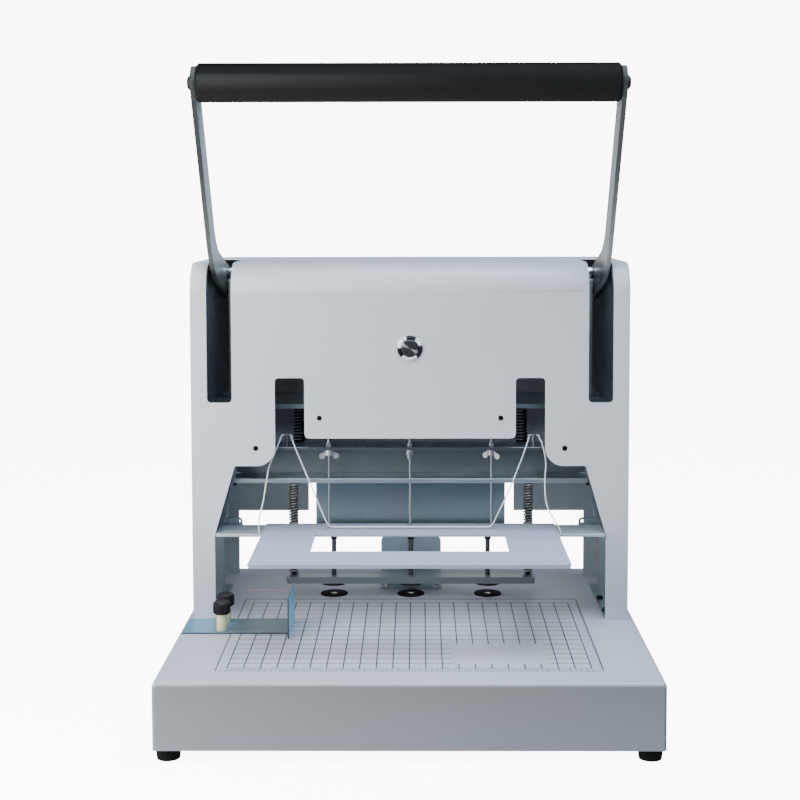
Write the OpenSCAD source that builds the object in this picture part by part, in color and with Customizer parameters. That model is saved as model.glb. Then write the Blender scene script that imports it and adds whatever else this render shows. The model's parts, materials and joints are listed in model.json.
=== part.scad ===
// Three-hole document binding machine: a sheet-steel base box with a portal column on it,
// a top lever that drives a punch ram, a beam of threading needles, a sprung press plate,
// a thread tray and two paper stops.
// Millimetres. X to the right, Y to the back, Z up, origin on the ground under the base's middle.
// Heights named _h are counted from the base's top face, depths named _set from the column's front.

/* [Base] */
// Width of the base box
base_w = 439; // [428:1:460]
// Depth of the base box
base_d = 406; // [400:1:440]
// Height of the base box without its feet
base_h = 59; // [44:1:75]
// Sheet thickness of the base box
base_t = 2; // [1.2:0.1:3]
// Radius of the base box's top edges
base_r = 3.5; // [3:0.5:5]
// Radius of the base box's upright edges
base_corner_r = 3; // [2:0.5:5]
// Diameter of a rubber foot
foot_d = 23; // [18:1:24]
// Height of a rubber foot
foot_h = 11; // [10:1:20]
// Distance of a foot's middle from the sides of the base
foot_inset = 12; // [12:1:40]
// Distance of a foot's middle from the front and the back of the base
foot_set = 14.5; // [12:0.5:40]

/* [Column] */
// Distance of the column's sides from the base's sides
column_inset = 7; // [4:0.5:8]
// Depth of the column
column_d = 183; // [179:1:195]
// Height of the column
column_h = 349; // [344:1:370]
// Distance from the base's front to the column's front
column_setback = 195; // [190:1:198]
// Sheet thickness of the covers
cover_t = 1.5; // [1:0.1:2]
// Outer radius of the bend between the front and the top
cover_bend_r = 28; // [15:1:40]
// Width of a front leg of the cover
leg_w = 22; // [20:0.5:22.5]
// Height of the gate between the front legs
gate_h = 152; // [145:1:158]
// Height at which the gate's slanted shoulders start
gate_knee_h = 84; // [70:1:110]
// Width of a slanted shoulder of the gate
gate_shoulder = 20; // [10:1:30]
// Radius of the cover's lower corners beside the notches
gate_r = 18; // [8:1:24]
// Width of the middle apron of the cover
apron_w = 205; // [190:1:215]
// Height of the apron's lower edge
apron_h = 179; // [174:1:190]
// Corner radius of the apron
apron_r = 5; // [2:0.5:9]
// Width of a notch beside the apron
notch_w = 28.5; // [22:0.5:32]
// Height of the top of a notch
notch_h = 238; // [225:1:255]
// Width of a lever slot
slot_w = 24; // [16:0.2:26]
// Height of the bottom of a lever slot
slot_h = 214; // [205:1:230]
// Depth of a lever slot on the top of the cover
slot_d = 133; // [130:1:136]
// Width of a leg of the rear cover
rear_leg_w = 24; // [21:0.5:42]
// Height of the opening in the rear cover
rear_gate_h = 71; // [50:1:90]
// Width of the raised middle of the rear opening
rear_notch_w = 224; // [180:1:260]
// Height of the raised middle of the rear opening
rear_notch_h = 126; // [100:1:180]

/* [Frame] */
// Gap between a side panel's outer face and the side frame
frame_gap = 10.5; // [8:0.5:11]
// Thickness of a side frame
frame_t = 4; // [3:0.5:5]
// Depth of a side frame at its top
frame_d = 158; // [156:1:164]
// Depth of a side frame at its foot
frame_foot_d = 114; // [80:1:140]
// Height of the lower face of the guide deck
deck_h = 203; // [198:1:215]
// Thickness of the guide deck
deck_t = 4.5; // [4:0.5:8]
// Depth of the guide deck
deck_d = 95; // [92:1:105]
// Depth of the guide deck's front edge behind the column's front
deck_set = 39; // [37:1:42]
// Width of the foot flange of a side frame
frame_foot_w = 9; // [8:0.5:12]
// Thickness of the foot flange of a side frame
frame_foot_t = 3; // [2:0.5:4]

/* [Button] */
// Diameter of the button's bezel
bezel_d = 24.6; // [20:0.2:28]
// Diameter of the button's cap
cap_d = 16.8; // [12:0.2:17.2]
// Travel of the button
cap_travel = 2; // [1:0.2:3]
// Height of the button's middle
button_h = 267; // [262:1:300]

/* [Lever] */
// Height of the lever's pivot
pivot_h = 320; // [316:1:324]
// Depth of the lever's pivot behind the column's front
pivot_set = 149; // [147:1:152]
// Diameter of the pivot shaft
shaft_d = 16; // [12:0.5:18]
// Thickness of a lever arm
arm_t = 4.5; // [3:0.5:5]
// Width of a lever arm
arm_w = 30; // [26:1:32]
// Side gap between a side frame and a lever arm
arm_gap = 4; // [3:0.5:5]
// Length of an arm's lower leg, from the pivot to its bend
arm_leg = 103; // [98:1:106]
// Rise of the lower leg at rest, in degrees
arm_rise = 13; // [11:0.5:15]
// Rise of the upper arm at rest, in degrees
arm_lean = 56.4; // [50:0.2:62]
// Bend radius at the middle of an arm
arm_bend_r = 80; // [60:1:90]
// Length of the upper arm, from the bend to the handle's middle
arm_reach = 165; // [140:1:190]
// Travel of the lever, in degrees
lever_travel = 48; // [40:1:49]
// Distance of the push pins from the pivot
push_pin_r = 42; // [40:0.5:43]
// Angle of the push pins over the pivot at rest, in degrees
push_pin_angle = 21; // [19:0.5:22]
// Diameter of a push pin
push_pin_d = 12; // [9:0.5:14]
// Diameter of the foam grip
grip_d = 35; // [26:1:40]
// Diameter of the handle bar inside the grip
bar_d = 14; // [12:0.5:18]

/* [Ram] */
// Depth of the punch line behind the column's front
punch_set = 99; // [98:1:101]
// Distance between two punches
punch_pitch = 80; // [78:0.5:83]
// Diameter of a punch
punch_d = 5; // [4:0.1:6]
// Bore of a hollow punch
punch_bore = 3.4; // [2:0.1:3.6]
// Height of the punch tips at rest
punch_tip_h = 16; // [15:0.5:18]
// Diameter of a punch sleeve
sleeve_d = 7; // [6.6:0.1:8]
// Height of the lower end of the punch sleeves
sleeve_h = 58; // [54:1:64]
// Length of the tool bar
tool_bar_w = 290; // [270:1:300]
// Depth of the tool bar
tool_bar_d = 28; // [20:1:30]
// Height of the tool bar
tool_bar_t = 22; // [16:1:26]
// Height of the lower face of the carriage plate
carriage_h = 146; // [144:1:150]
// Thickness of the carriage plate
carriage_t = 8; // [6:0.5:10]
// Width of the ram's front plate
ram_plate_w = 190; // [174:1:200]
// Height of the lower edge of the ram's front plate
ram_plate_h = 78; // [72:1:84]
// Thickness of the ram's front plate
ram_plate_t = 3; // [2:0.5:4]
// Diameter of a guide post
guide_d = 14; // [10:0.5:16]
// Distance of a guide post's middle from a side frame
guide_inset = 40; // [37:1:43]
// Length of a guide post
guide_l = 132; // [125:1:150]
// Width of a push yoke
yoke_w = 10; // [7:0.5:11]
// Depth of a push yoke
yoke_d = 24; // [18:1:26]
// Outer diameter of a return spring
return_od = 12; // [10.5:0.5:14]
// Wire of a return spring
return_wire = 1.8; // [1.4:0.1:2]
// Turns of a return spring
return_turns = 11; // [8:1:12]
// Distance of the return springs from the middle
return_x = 112; // [108:1:116]
// Distance of the return springs in front of the punch line
return_lead = 40; // [36:0.5:41]

/* [Press] */
// Length of the press plate
press_w = 257; // [254:1:270]
// Depth of the press plate
press_d = 27; // [24:1:30]
// Thickness of the press plate
press_t = 7; // [5:0.5:8]
// Height of the lower face of the press plate
press_h = 14; // [13:0.5:15]
// Travel of the press plate
press_travel = 10; // [6:0.5:10]
// Diameter of a press pad
pad_d = 27; // [20:1:27]
// Thickness of a press pad
pad_t = 2.5; // [1.5:0.1:2.6]
// Distance of the press posts from the middle
post_x = 121.8; // [118:0.2:124]
// Diameter of a press post
post_d = 6; // [5:0.1:6.3]
// Outer diameter of a press spring
press_od = 10.6; // [10.4:0.1:12]
// Wire of a press spring
press_wire = 1.5; // [1.2:0.1:1.6]
// Turns of a press spring
press_turns = 28; // [24:1:31]

/* [Needles] */
// Depth of the needle line behind the column's front
needle_set = 21; // [20:0.5:22]
// Diameter of a threading needle
needle_d = 2.4; // [1.8:0.1:2.8]
// Diameter of a needle's threaded head
needle_head_d = 4; // [3.4:0.1:5]
// Gap between an end of the needle beam and a side frame
beam_gap = 23.5; // [22.5:0.5:33]
// Depth of the needle beam
beam_d = 33.5; // [32:0.5:34]
// Height of the needle beam
beam_tall = 35.5; // [34:0.5:37]
// Height of the beam's lower edge
beam_h = 132.5; // [130:0.5:134]
// Sheet thickness of the needle beam
beam_t = 3; // [2:0.5:3]
// Height of the beam's front lip
beam_lip = 4.5; // [3.5:0.5:6]
// Distance of the thread pegs from the middle
peg_x = 121.5; // [118:0.5:125]
// Diameter of a thread peg
peg_d = 3.6; // [3:0.1:4]
// Length of a thread peg
peg_l = 13; // [12:0.5:16]

/* [Shelf and tray] */
// Height of the shelf's top
shelf_h = 86; // [84:0.5:88]
// Depth of the shelf
shelf_d = 43; // [40:0.5:44]
// Thickness of the shelf
shelf_t = 3; // [2:0.5:4]
// Height of the shelf's rear flange
shelf_flange = 12; // [8:1:16]
// Width of the tray
tray_w = 288; // [280:1:290]
// Length of the tray
tray_d = 173; // [170:1:195]
// Thickness of the tray
tray_t = 1.2; // [1:0.1:2]
// Height of the tray's front lip
tray_lip = 3.4; // [2.5:0.1:6]
// Width of the tray's window
window_w = 183; // [160:1:200]
// Depth of the tray's window
window_d = 69; // [50:1:72]
// Depth of the tray's front bar
tray_bar = 52; // [45:1:55]
// Diameter of the thread
thread_d = 1.4; // [1.2:0.1:2]

/* [Dies and stops] */
// Diameter of a die disc
die_d = 28; // [24:0.5:32]
// Height of a die disc over the base
die_t = 1.2; // [0.6:0.1:1.3]
// Diameter of a die's body in the base
die_body_d = 20; // [14:0.5:22]
// Length of a die's body under the base's top face
die_body_l = 16; // [8:0.5:20]
// Width of the back stop
stop_w = 64; // [50:1:80]
// Height of the back stop
stop_tall = 53; // [40:1:60]
// Depth of the back stop's foot
stop_d = 20; // [16:1:24]
// Sheet thickness of the back stop
stop_t = 2.5; // [1.5:0.1:3]
// Travel of the back stop
stop_travel = 36; // [20:1:38]
// Distance of the side fence from the middle
fence_x = 113; // [108:1:125]
// Length of the side fence
fence_d = 64; // [50:1:80]
// Height of the side fence
fence_tall = 38; // [25:1:38.5]
// Sheet thickness of the side fence
fence_t = 1.5; // [1:0.1:2]
// Depth of the fence's foot strip
strip_d = 48; // [44:1:56]
// Travel of the side fence
fence_travel = 50; // [20:1:52]
// Diameter of a thumb knob
knob_d = 16.6; // [14:0.2:20]
// Height of a thumb knob
knob_tall = 11.6; // [8:0.2:14]
// Diameter of a fence post
fence_post_d = 10.4; // [8:0.2:12]
// Height of a fence post
fence_post_tall = 16; // [12:0.5:20]
// Distance of the fence posts from the base's left side
fence_post_inset = 40.5; // [34:0.5:44]
// Gap from the base's left edge to the end of the fence's strip
fence_set = 3; // [0:0.5:10]
// Distance between the fence posts
fence_post_pitch = 29; // [26:0.5:32]

/* [Fits] */
// Radial clearance of a running fit
run_fit = 0.04; // [0.02:0.01:0.08]
// Radial clearance of a fixed piece in its hole
set_fit = 0.05; // [0.02:0.01:0.1]
// Radial clearance of a free hole
free_fit = 0.35; // [0.3:0.05:0.6]
// Gap between faces that slide over each other
slide_gap = 0.1; // [0.05:0.05:0.2]
// Gap between a soft or wound piece and its seat
seat_gap = 0.3; // [0.2:0.05:0.4]

/* [Hidden] */
$fn = 48;

// Planes and axes shared by the pieces
base_top = foot_h + base_h;
front_y = column_setback - base_d / 2;
back_y = front_y + column_d;
column_w = base_w - 2 * column_inset;
side_x = column_w / 2;
leg_in = side_x - leg_w;
frame_out = side_x - frame_gap;
frame_in = frame_out - frame_t;
frame_lead = 11.5;
frame_front = front_y + cover_t + frame_lead;
frame_foot_back = frame_front + frame_foot_d;
rear_gate_w = column_w - 2 * rear_leg_w;
arm_out = frame_in - arm_gap;
arm_in = arm_out - arm_t;
slot_side = 2.8;
slot_out = arm_out + slot_side;
pivot_y = front_y + pivot_set;
pivot_z = base_top + pivot_h;
punch_y = front_y + punch_set;
needle_y = front_y + needle_set;
PUNCHES = [-punch_pitch, 0, punch_pitch];
SIDES = [-1, 1];

// The lever's arms, as a chain of a leg, a bend and an upper arm in the Y-Z plane
leg_dir = [-cos(arm_rise), sin(arm_rise)];
leg_normal = [sin(arm_rise), cos(arm_rise)];
arm_dir = [-cos(arm_lean), sin(arm_lean)];
arm_normal = [sin(arm_lean), cos(arm_lean)];
pivot_at = [pivot_y, pivot_z];
bend_start = pivot_at + arm_leg * leg_dir;
bend_middle = bend_start + arm_bend_r * leg_normal;
bend_end = bend_middle - arm_bend_r * arm_normal;
handle_at = bend_end + arm_reach * arm_dir;
push_pin_at = pivot_at + push_pin_r * [-cos(push_pin_angle), sin(push_pin_angle)];
lever_hub_wall = 7;
lever_hub_d = shaft_d + 2 * lever_hub_wall;
lever_hub_l = 10;
shaft_overhang = 3;

// The ram, which the push pins press down by ram_stroke
ram_stroke = push_pin_r * (sin(push_pin_angle) + sin(lever_travel - push_pin_angle));
push_gap = 0.5;
yoke_gap = 2.5;
yoke_out = arm_in - yoke_gap;
yoke_in = yoke_out - yoke_w;
yoke_y = pivot_y - push_pin_r * (1 + cos(push_pin_angle)) / 2;
yoke_top = push_pin_at[1] - push_pin_d / 2 - push_gap;
carriage_z = base_top + carriage_h;
carriage_top = carriage_z + carriage_t;
tool_bar_z = carriage_z - tool_bar_t;
deck_z = base_top + deck_h;
deck_front = front_y + deck_set;
deck_back = deck_front + deck_d;
guide_x = frame_in - guide_inset;
guide_wall = 4;
guide_flange = 4;
guide_bush_l = 26;
return_r = (return_od - return_wire) / 2;
return_y = punch_y - return_lead;
return_pin_d = return_od - 2 * return_wire - 2 * seat_gap;
return_pin_l = 7;

// The needle beam, a channel that opens to the front
beam_nose = 6;
beam_w = 2 * (frame_in - beam_gap);
beam_front = needle_y - beam_nose;
beam_back = beam_front + beam_d;
beam_z = base_top + beam_h;
beam_top = beam_z + beam_tall;
carriage_front = beam_back + ram_plate_t;
carriage_back = yoke_y + yoke_d / 2;
needle_tip_h = 2.6;
wing_hub_d = 8;
wing_hub_l = 5.5;
wing_reach = 9.5;
nut_t = 4;

// The press plate and its two sprung posts
press_z = base_top + press_h;
press_top = press_z + press_t;
press_r = (press_od - press_wire) / 2;
post_nut_d = 11;
post_nut_t = 5;
post_top = carriage_top + seat_gap + post_nut_t;

// The shelf, the tray and the stops
shelf_z = base_top + shelf_h - shelf_t;
shelf_top = base_top + shelf_h;
shelf_nose = 4;
shelf_side = 0.5;
shelf_front = front_y - shelf_nose;
shelf_back = shelf_front + shelf_d;
gate_slope = gate_shoulder / (gate_h - gate_knee_h);
shelf_x = leg_in - max(0, gate_slope * (shelf_h - gate_knee_h)) - shelf_side;
tray_top = shelf_top + tray_t;
tray_front = shelf_back - tray_d;
bracket_t = 3;
stop_lead = 5;
stop_screw_d = 4.5;
stop_screw_in = 7;
stop_screw_set = 6;
stop_front = punch_y + tool_bar_d / 2 + stop_lead;
stop_hole_x = stop_w / 2 - stop_screw_in;
stop_hole_y = stop_front + stop_screw_set;
fence_lead = 1;
fence_post_set = 11;
fence_back = front_y - fence_lead;
strip_z = base_top + slide_gap;
strip_top = strip_z + fence_t;
fence_post_x = fence_post_inset - base_w / 2;
fence_post_y = fence_back - fence_post_set;
FENCE_POSTS = [fence_post_y - fence_post_pitch, fence_post_y];
fence_stud_d = 5;
fence_nut_d = 12;
fence_nut_t = 3;
knob_z = strip_top + fence_post_tall + 2 * slide_gap;

// A profile drawn in X and Z, pushed along Y
module along_y(y_from, y_to) {
    translate([0, y_to, 0]) rotate([90, 0, 0]) linear_extrude(y_to - y_from) children();
}

// A profile drawn in Y and Z, pushed along X
module along_x(x_from, x_to) {
    translate([x_from, 0, 0]) rotate([90, 0, 90]) linear_extrude(x_to - x_from) children();
}

// A block between two corners
module block(low, high) {
    translate(low) cube(high - low);
}

// A rectangle with round corners, between two corners
module round_rect(low, high, r) {
    size = high - low;
    translate(low + [r, 0]) square([size[0] - 2 * r, size[1]]);
    translate(low + [0, r]) square([size[0], size[1] - 2 * r]);
    for (x = [r, size[0] - r], y = [r, size[1] - r]) translate(low + [x, y]) circle(r);
}

// Points of an arc about a middle, from one angle to another, for the rounded corners of an outline
ARC_STEPS = 10;
function arc(middle, r, from, to) = [
    for (i = [0:ARC_STEPS])
        let (a = from + (to - from) * i / ARC_STEPS)
        middle + r * [cos(a), sin(a)]
];
function mirrored(points) = [for (i = [len(points) - 1:-1:0]) [-points[i][0], points[i][1]]];

// A box between two corners, with round top edges and upright edges of another radius
module soft_box(low, high, r, corner_r) {
    z = high[2] - r;
    sides = [low[0] + r, high[0] - r];
    ends = [low[1] + r, high[1] - r];
    hull() {
        for (x = [low[0] + corner_r, high[0] - corner_r], y = [low[1] + corner_r, high[1] - corner_r])
            translate([x, y, low[2]]) cylinder(r = corner_r, h = z - low[2], $fn = 32);
        for (y = ends) translate([sides[0], y, z]) rotate([0, 90, 0])
            cylinder(r = r, h = sides[1] - sides[0], $fn = 32);
        for (x = sides) translate([x, ends[0], z]) rotate([-90, 0, 0])
            cylinder(r = r, h = ends[1] - ends[0], $fn = 32);
    }
}

// A round bar along X
module bar_x(d, x_from, x_to, at) {
    translate([x_from, at[0], at[1]]) rotate([0, 90, 0]) cylinder(d = d, h = x_to - x_from);
}

// A ring of round cross-section points swept along a path, closed at both ends
function unit(v) = v / norm(v);
function clamp_index(i, n) = max(0, min(n - 1, i));
function tangent(path, i) =
    unit(path[clamp_index(i + 1, len(path))] - path[clamp_index(i - 1, len(path))]);
function flatten_on(v, t) = unit(v - (v * t) * t);
function side_vectors(path, first) = [
    for (i = 0, v = flatten_on(first, tangent(path, 0));
         i < len(path);
         i = i + 1, v = i < len(path) ? flatten_on(v, tangent(path, i)) : v) v
];
module tube(path, d, sides, first) {
    sides_at = side_vectors(path, first);
    count = len(path);
    points = [
        for (i = [0:count - 1], k = [0:sides - 1])
            let (t = tangent(path, i), a = 360 * k / sides)
            path[i] + d / 2 * (cos(a) * sides_at[i] + sin(a) * cross(t, sides_at[i]))
    ];
    walls = [
        for (i = [0:count - 2], k = [0:sides - 1], half = [0, 1])
            let (n = (k + 1) % sides, a = i * sides, b = a + sides)
            half == 0 ? [a + k, b + k, b + n] : [a + k, b + n, a + n]
    ];
    ends = [
        for (k = [1:sides - 2], far = [0, 1])
            let (o = (count - 1) * sides)
            far == 0 ? [0, k, k + 1] : [o, o + k + 1, o + k]
    ];
    polyhedron(points, concat(walls, ends));
}

// A coil spring standing on the origin: eight rings a turn, with straight upright ends
RINGS = 8;
function coil_path(r, wire, turns, height) = concat(
    [[r, 0, 0]],
    [for (i = [0:turns * RINGS])
        let (a = 360 * i / RINGS, f = i / (turns * RINGS))
        [r * cos(a), r * sin(a), wire + (height - 2 * wire) * f]],
    [[r, 0, height]]
);
// Least distance between turns, measured on the path's points, less the wire
function coil_gap(path, wire) = min([
    for (i = [1:len(path) - 2 - RINGS]) for (j = [i + RINGS - 2:min(i + RINGS + 2, len(path) - 2)])
        norm(path[i] - path[j])
]) - wire;
module coil(r, wire, turns, height) {
    path = coil_path(r, wire, turns, height);
    echo(least_gap_between_turns = coil_gap(path, wire));
    tube(path, wire, 6, [1, 0, 0]);
}

// Smooth curve through the points of a cord's route
function curve_point(a, b, c, d, t) =
    0.5 * (2 * b + (c - a) * t + (2 * a - 5 * b + 4 * c - d) * t * t + (3 * b - a - 3 * c + d) * t * t * t);
function smooth(route, steps) = concat(
    [for (i = [0:len(route) - 2], s = [0:steps - 1])
        let (before = route[max(i - 1, 0)], after = route[min(i + 2, len(route) - 1)])
        curve_point(before, route[i], route[i + 1], after, s / steps)],
    [route[len(route) - 1]]
);

// Route of the thread: up through the shelf's left hole, round the left peg, past the needles,
// round the right peg and down through the shelf's right hole. Its points are counted from thread_at
THREAD = [
    [-147, 1, 83], [-147.8, 1, 91], [-147, 2, 102], [-143.2, 4, 118], [-138.5, 8, 147], [-133, 10, 162],
    [-128.8, 13, 172.5], [-127, 15, 176.5], [-126.4, 19.7, 178.8], [-124.9, 22.6, 179], [-121.5, 23.9, 179],
    [-118.1, 22.6, 179], [-116.6, 19.7, 178.8], [-116, 15, 176.5], [-109.5, 11, 161], [-95.8, 10, 128],
    [-85, 11, 101], [-79.5, 13, 90.6], [-72, 14, 89.2], [-55, 14, 89.2], [0, 14, 89.2], [55, 14, 89.2],
    [72, 14, 89.2], [79.5, 13, 90.6], [85, 11, 101], [97.5, 10, 128], [110.5, 11, 161], [116, 15, 176.5],
    [116.6, 19.7, 178.8], [118.1, 22.6, 179], [121.5, 23.9, 179], [124.9, 22.6, 179], [126.4, 19.7, 178.8],
    [127, 15, 176.5], [129.5, 12, 171], [132.6, 9.5, 154], [131.5, 7, 132], [134, 4, 111], [145, 1, 91],
    [147, 1, 83]
];
THREAD_STEPS = 2;
thread_at = [0, front_y, base_top];
thread_end = [147, front_y + 1];

base_inner_r = 0.5;
// Base box, open below, with its holes for the dies and slots for the stops
module base_shell() {
    color("gainsboro") difference() {
        soft_box([-base_w / 2, -base_d / 2, foot_h], [base_w / 2, base_d / 2, base_top],
            base_r, base_corner_r);
        soft_box([base_t - base_w / 2, base_t - base_d / 2, foot_h - 1],
            [base_w / 2 - base_t, base_d / 2 - base_t, base_top - base_t],
            base_r - base_t, max(base_corner_r - base_t, base_inner_r));
        for (x = PUNCHES) translate([x, punch_y, base_top - base_t - 1])
            cylinder(d = die_body_d + 2 * set_fit, h = base_t + 2);
        for (y = FENCE_POSTS) slot_cut([fence_post_x, y], [fence_travel, 0], fence_stud_d);
        for (s = SIDES) slot_cut([s * stop_hole_x, stop_hole_y], [0, stop_travel], stop_screw_d);
        for (p = FRAME_SCREWS) translate([p[0], p[1], base_top - base_t - 1])
            cylinder(d = frame_screw_d + 2 * set_fit, h = base_t + 2);
    }
}
// A slot through the base's top for a screw that travels
module slot_cut(from, travel, d) {
    width = d + 2 * free_fit;
    turn = travel[0] > 0 ? 0 : 90;
    translate([from[0], from[1], base_top - base_t - 1]) {
        cylinder(d = width, h = base_t + 2);
        translate([travel[0], travel[1], 0]) cylinder(d = width, h = base_t + 2);
        rotate([0, 0, turn]) translate([0, -width / 2, 0]) cube([norm(travel), width, base_t + 2]);
    }
}

foot_x = base_w / 2 - foot_inset;
foot_y = base_d / 2 - foot_set;
foot_screw_d = 4.6;
foot_head_d = 9;
foot_recess = 6;
foot_taper = 3;
bottom_t = 2;
module at_feet() {
    for (x = SIDES, y = SIDES) translate([x * foot_x, y * foot_y, 0]) children();
}
// Sheet that closes the base box from below
module base_bottom_plate() {
    edge = base_t + slide_gap;
    color("silver") difference() {
        block([edge - base_w / 2, edge - base_d / 2, foot_h],
            [base_w / 2 - edge, base_d / 2 - edge, foot_h + bottom_t]);
        translate([0, 0, foot_h - 1]) at_feet() cylinder(d = foot_screw_d + 2 * set_fit, h = bottom_t + 2);
    }
}
// Tapered rubber feet with a recess for their screws
module rubber_feet() {
    color("black") at_feet() difference() {
        cylinder(d1 = foot_d - foot_taper, d2 = foot_d, h = foot_h);
        translate([0, 0, -1]) cylinder(d = foot_head_d + 2 * free_fit, h = foot_recess + 1);
        cylinder(d = foot_screw_d + 2 * set_fit, h = foot_h + 1);
    }
}
// Screws that hold the feet to the bottom plate
module foot_screws() {
    head_t = 3;
    proud = 3;
    shank_l = foot_h + bottom_t + proud - foot_recess;
    color("silver") at_feet() {
        translate([0, 0, foot_recess - head_t]) cylinder(d = foot_head_d, h = head_t);
        translate([0, 0, foot_recess - 1]) cylinder(d = foot_screw_d, h = shank_l + 1);
    }
}

// Outline of a side frame in Y and Z: narrow at its foot, deeper where it carries the lever's shaft
module frame_outline() {
    top_gap = 6;
    deck_drop = 20;
    top = base_top + column_h - cover_t - top_gap;
    step_z = base_top + deck_h - deck_drop;
    back = frame_front + frame_d;
    chamfer = max(cover_bend_r - frame_lead + top_gap / 2, top_gap);
    polygon([
        [frame_front, base_top], [frame_foot_back, base_top], [frame_foot_back, step_z],
        [back, step_z + back - frame_foot_back], [back, top],
        [frame_front + chamfer, top], [frame_front, top - chamfer]
    ]);
}
bush_d = shaft_d + 6;
frame_screw_d = 4;
FRAME_SCREWS = [for (s = SIDES, f = [0.1, 0.5])
    [s * (frame_in - frame_foot_w / 2), frame_front + f * frame_foot_d]];
// Side frame with its foot flange, which two screws hold to the base
module side_frame() {
    color("lightsteelblue") difference() {
        union() {
            along_x(frame_in, frame_out) frame_outline();
            block([frame_in - frame_foot_w, frame_front, base_top],
                [frame_in + 1, frame_foot_back, base_top + frame_foot_t]);
        }
        bar_x(bush_d + 2 * set_fit, frame_in - 1, frame_out + 1, pivot_at);
        for (p = FRAME_SCREWS) translate([p[0], p[1], base_top - 1])
            cylinder(d = frame_screw_d + 2 * set_fit, h = frame_foot_t + 2);
    }
}
module left_side_frame() {
    mirror([1, 0, 0]) side_frame();
}
module right_side_frame() {
    side_frame();
}

// Flanged bushes for the lever's shaft, pressed into the side frames
module shaft_bushings() {
    flange_t = 2;
    flange_d = bush_d + 6;
    color("darkgoldenrod") for (s = SIDES) mirror([s < 0 ? 1 : 0, 0, 0]) difference() {
        union() {
            bar_x(bush_d, frame_in, frame_out, pivot_at);
            bar_x(flange_d, frame_in - flange_t, frame_in, pivot_at);
        }
        bar_x(shaft_d + 2 * run_fit, frame_in - flange_t - 1, frame_out + 1, pivot_at);
    }
}

// Sheet panel that closes a side of the column
module side_panel() {
    gap = 2 * set_fit;
    inner_r = cover_bend_r - cover_t - gap;
    low = [front_y + cover_t + gap, base_top];
    high = [back_y - cover_t, base_top + column_h - cover_t - gap];
    color("gainsboro") along_x(side_x - cover_t, side_x) polygon(concat(
        [low, [high[0], low[1]], high],
        arc([low[0] + inner_r, high[1] - inner_r], inner_r, 90, 180)
    ));
}
module left_side_panel() {
    mirror([1, 0, 0]) side_panel();
}
module right_side_panel() {
    side_panel();
}

// Cover sheet bent over the column's front and top
module cover_sheet() {
    top = base_top + column_h;
    bend = [front_y + cover_bend_r, top - cover_bend_r];
    block([-side_x, front_y, base_top], [side_x, front_y + cover_t, bend[1]]);
    block([-side_x, bend[0], top - cover_t], [side_x, back_y, top]);
    translate([-side_x, bend[0], bend[1]]) rotate([90, 0, 90]) rotate([0, 0, 90])
        rotate_extrude(angle = 90) translate([cover_bend_r - cover_t, 0]) square([cover_t, column_w]);
}
// Opening between the legs, with the notches beside the apron, drawn as its right half and its mirror image
module gate_profile() {
    notch_r = 3.5;
    apron_x = apron_w / 2;
    notch_x = apron_x + notch_w;
    notch_z = base_top + notch_h - notch_r;
    gate_z = base_top + gate_h;
    right = concat(
        [[leg_in, base_top - 1], [leg_in, base_top + gate_knee_h], [leg_in - gate_shoulder, gate_z]],
        arc([notch_x + gate_r, gate_z + gate_r], gate_r, 270, 180),
        arc([notch_x - notch_r, notch_z], notch_r, 0, 90),
        arc([apron_x + notch_r, notch_z], notch_r, 90, 180),
        arc([apron_x - apron_r, base_top + apron_h + apron_r], apron_r, 0, -90)
    );
    polygon(concat(right, mirrored(right)));
}
module front_cover() {
    slot_r = 4;
    color("whitesmoke") difference() {
        cover_sheet();
        along_y(front_y - 1, front_y + cover_t + 1) gate_profile();
        for (s = SIDES) along_y(front_y - 1, front_y + slot_d)
            round_rect([s * (slot_out - slot_w / 2) - slot_w / 2, base_top + slot_h],
                [s * (slot_out - slot_w / 2) + slot_w / 2, base_top + column_h + slot_r + 1], slot_r);
        translate([0, front_y, base_top + button_h]) rotate([90, 0, 0])
            cylinder(d = barrel_d + 2 * set_fit, h = 4 * cover_t, center = true);
        for (p = FRONT_SCREWS) translate([p[0], front_y, p[1]]) rotate([90, 0, 0])
            cylinder(d = cover_screw_d + 2 * set_fit, h = 4 * cover_t, center = true);
    }
}
// Sheet that closes the column's back above the paper's way out
module rear_cover() {
    z = base_top;
    notch_r = 5;
    color("gainsboro") difference() {
        along_y(back_y - cover_t, back_y) difference() {
            translate([-side_x, z]) square([column_w, column_h - cover_t]);
            translate([-rear_gate_w / 2, z - 1]) square([rear_gate_w, rear_gate_h + 1]);
            round_rect([-rear_notch_w / 2, z + rear_gate_h - 2 * notch_r],
                [rear_notch_w / 2, z + rear_notch_h], notch_r);
        }
        for (p = REAR_SCREWS) translate([p[0], back_y, p[1]]) rotate([90, 0, 0])
            cylinder(d = cover_screw_d + 2 * set_fit, h = 4 * cover_t, center = true);
    }
}

cover_screw_d = 3;
cover_head_d = 5;
apron_screw = [14.5, 20];
notch_screw = [19, 17.5];
rear_screw = [20, 30];
FRONT_SCREWS = [
    for (s = SIDES) [s * (apron_w / 2 - apron_screw[0]), base_top + apron_h + apron_screw[1]],
    for (s = SIDES) [s * (apron_w / 2 + notch_w + notch_screw[0]), base_top + gate_h + notch_screw[1]]
];
REAR_SCREWS = [
    for (s = SIDES, h = [rear_gate_h + rear_screw[1], column_h - rear_screw[1]])
        [s * (side_x - rear_screw[0]), base_top + h]
];
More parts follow.
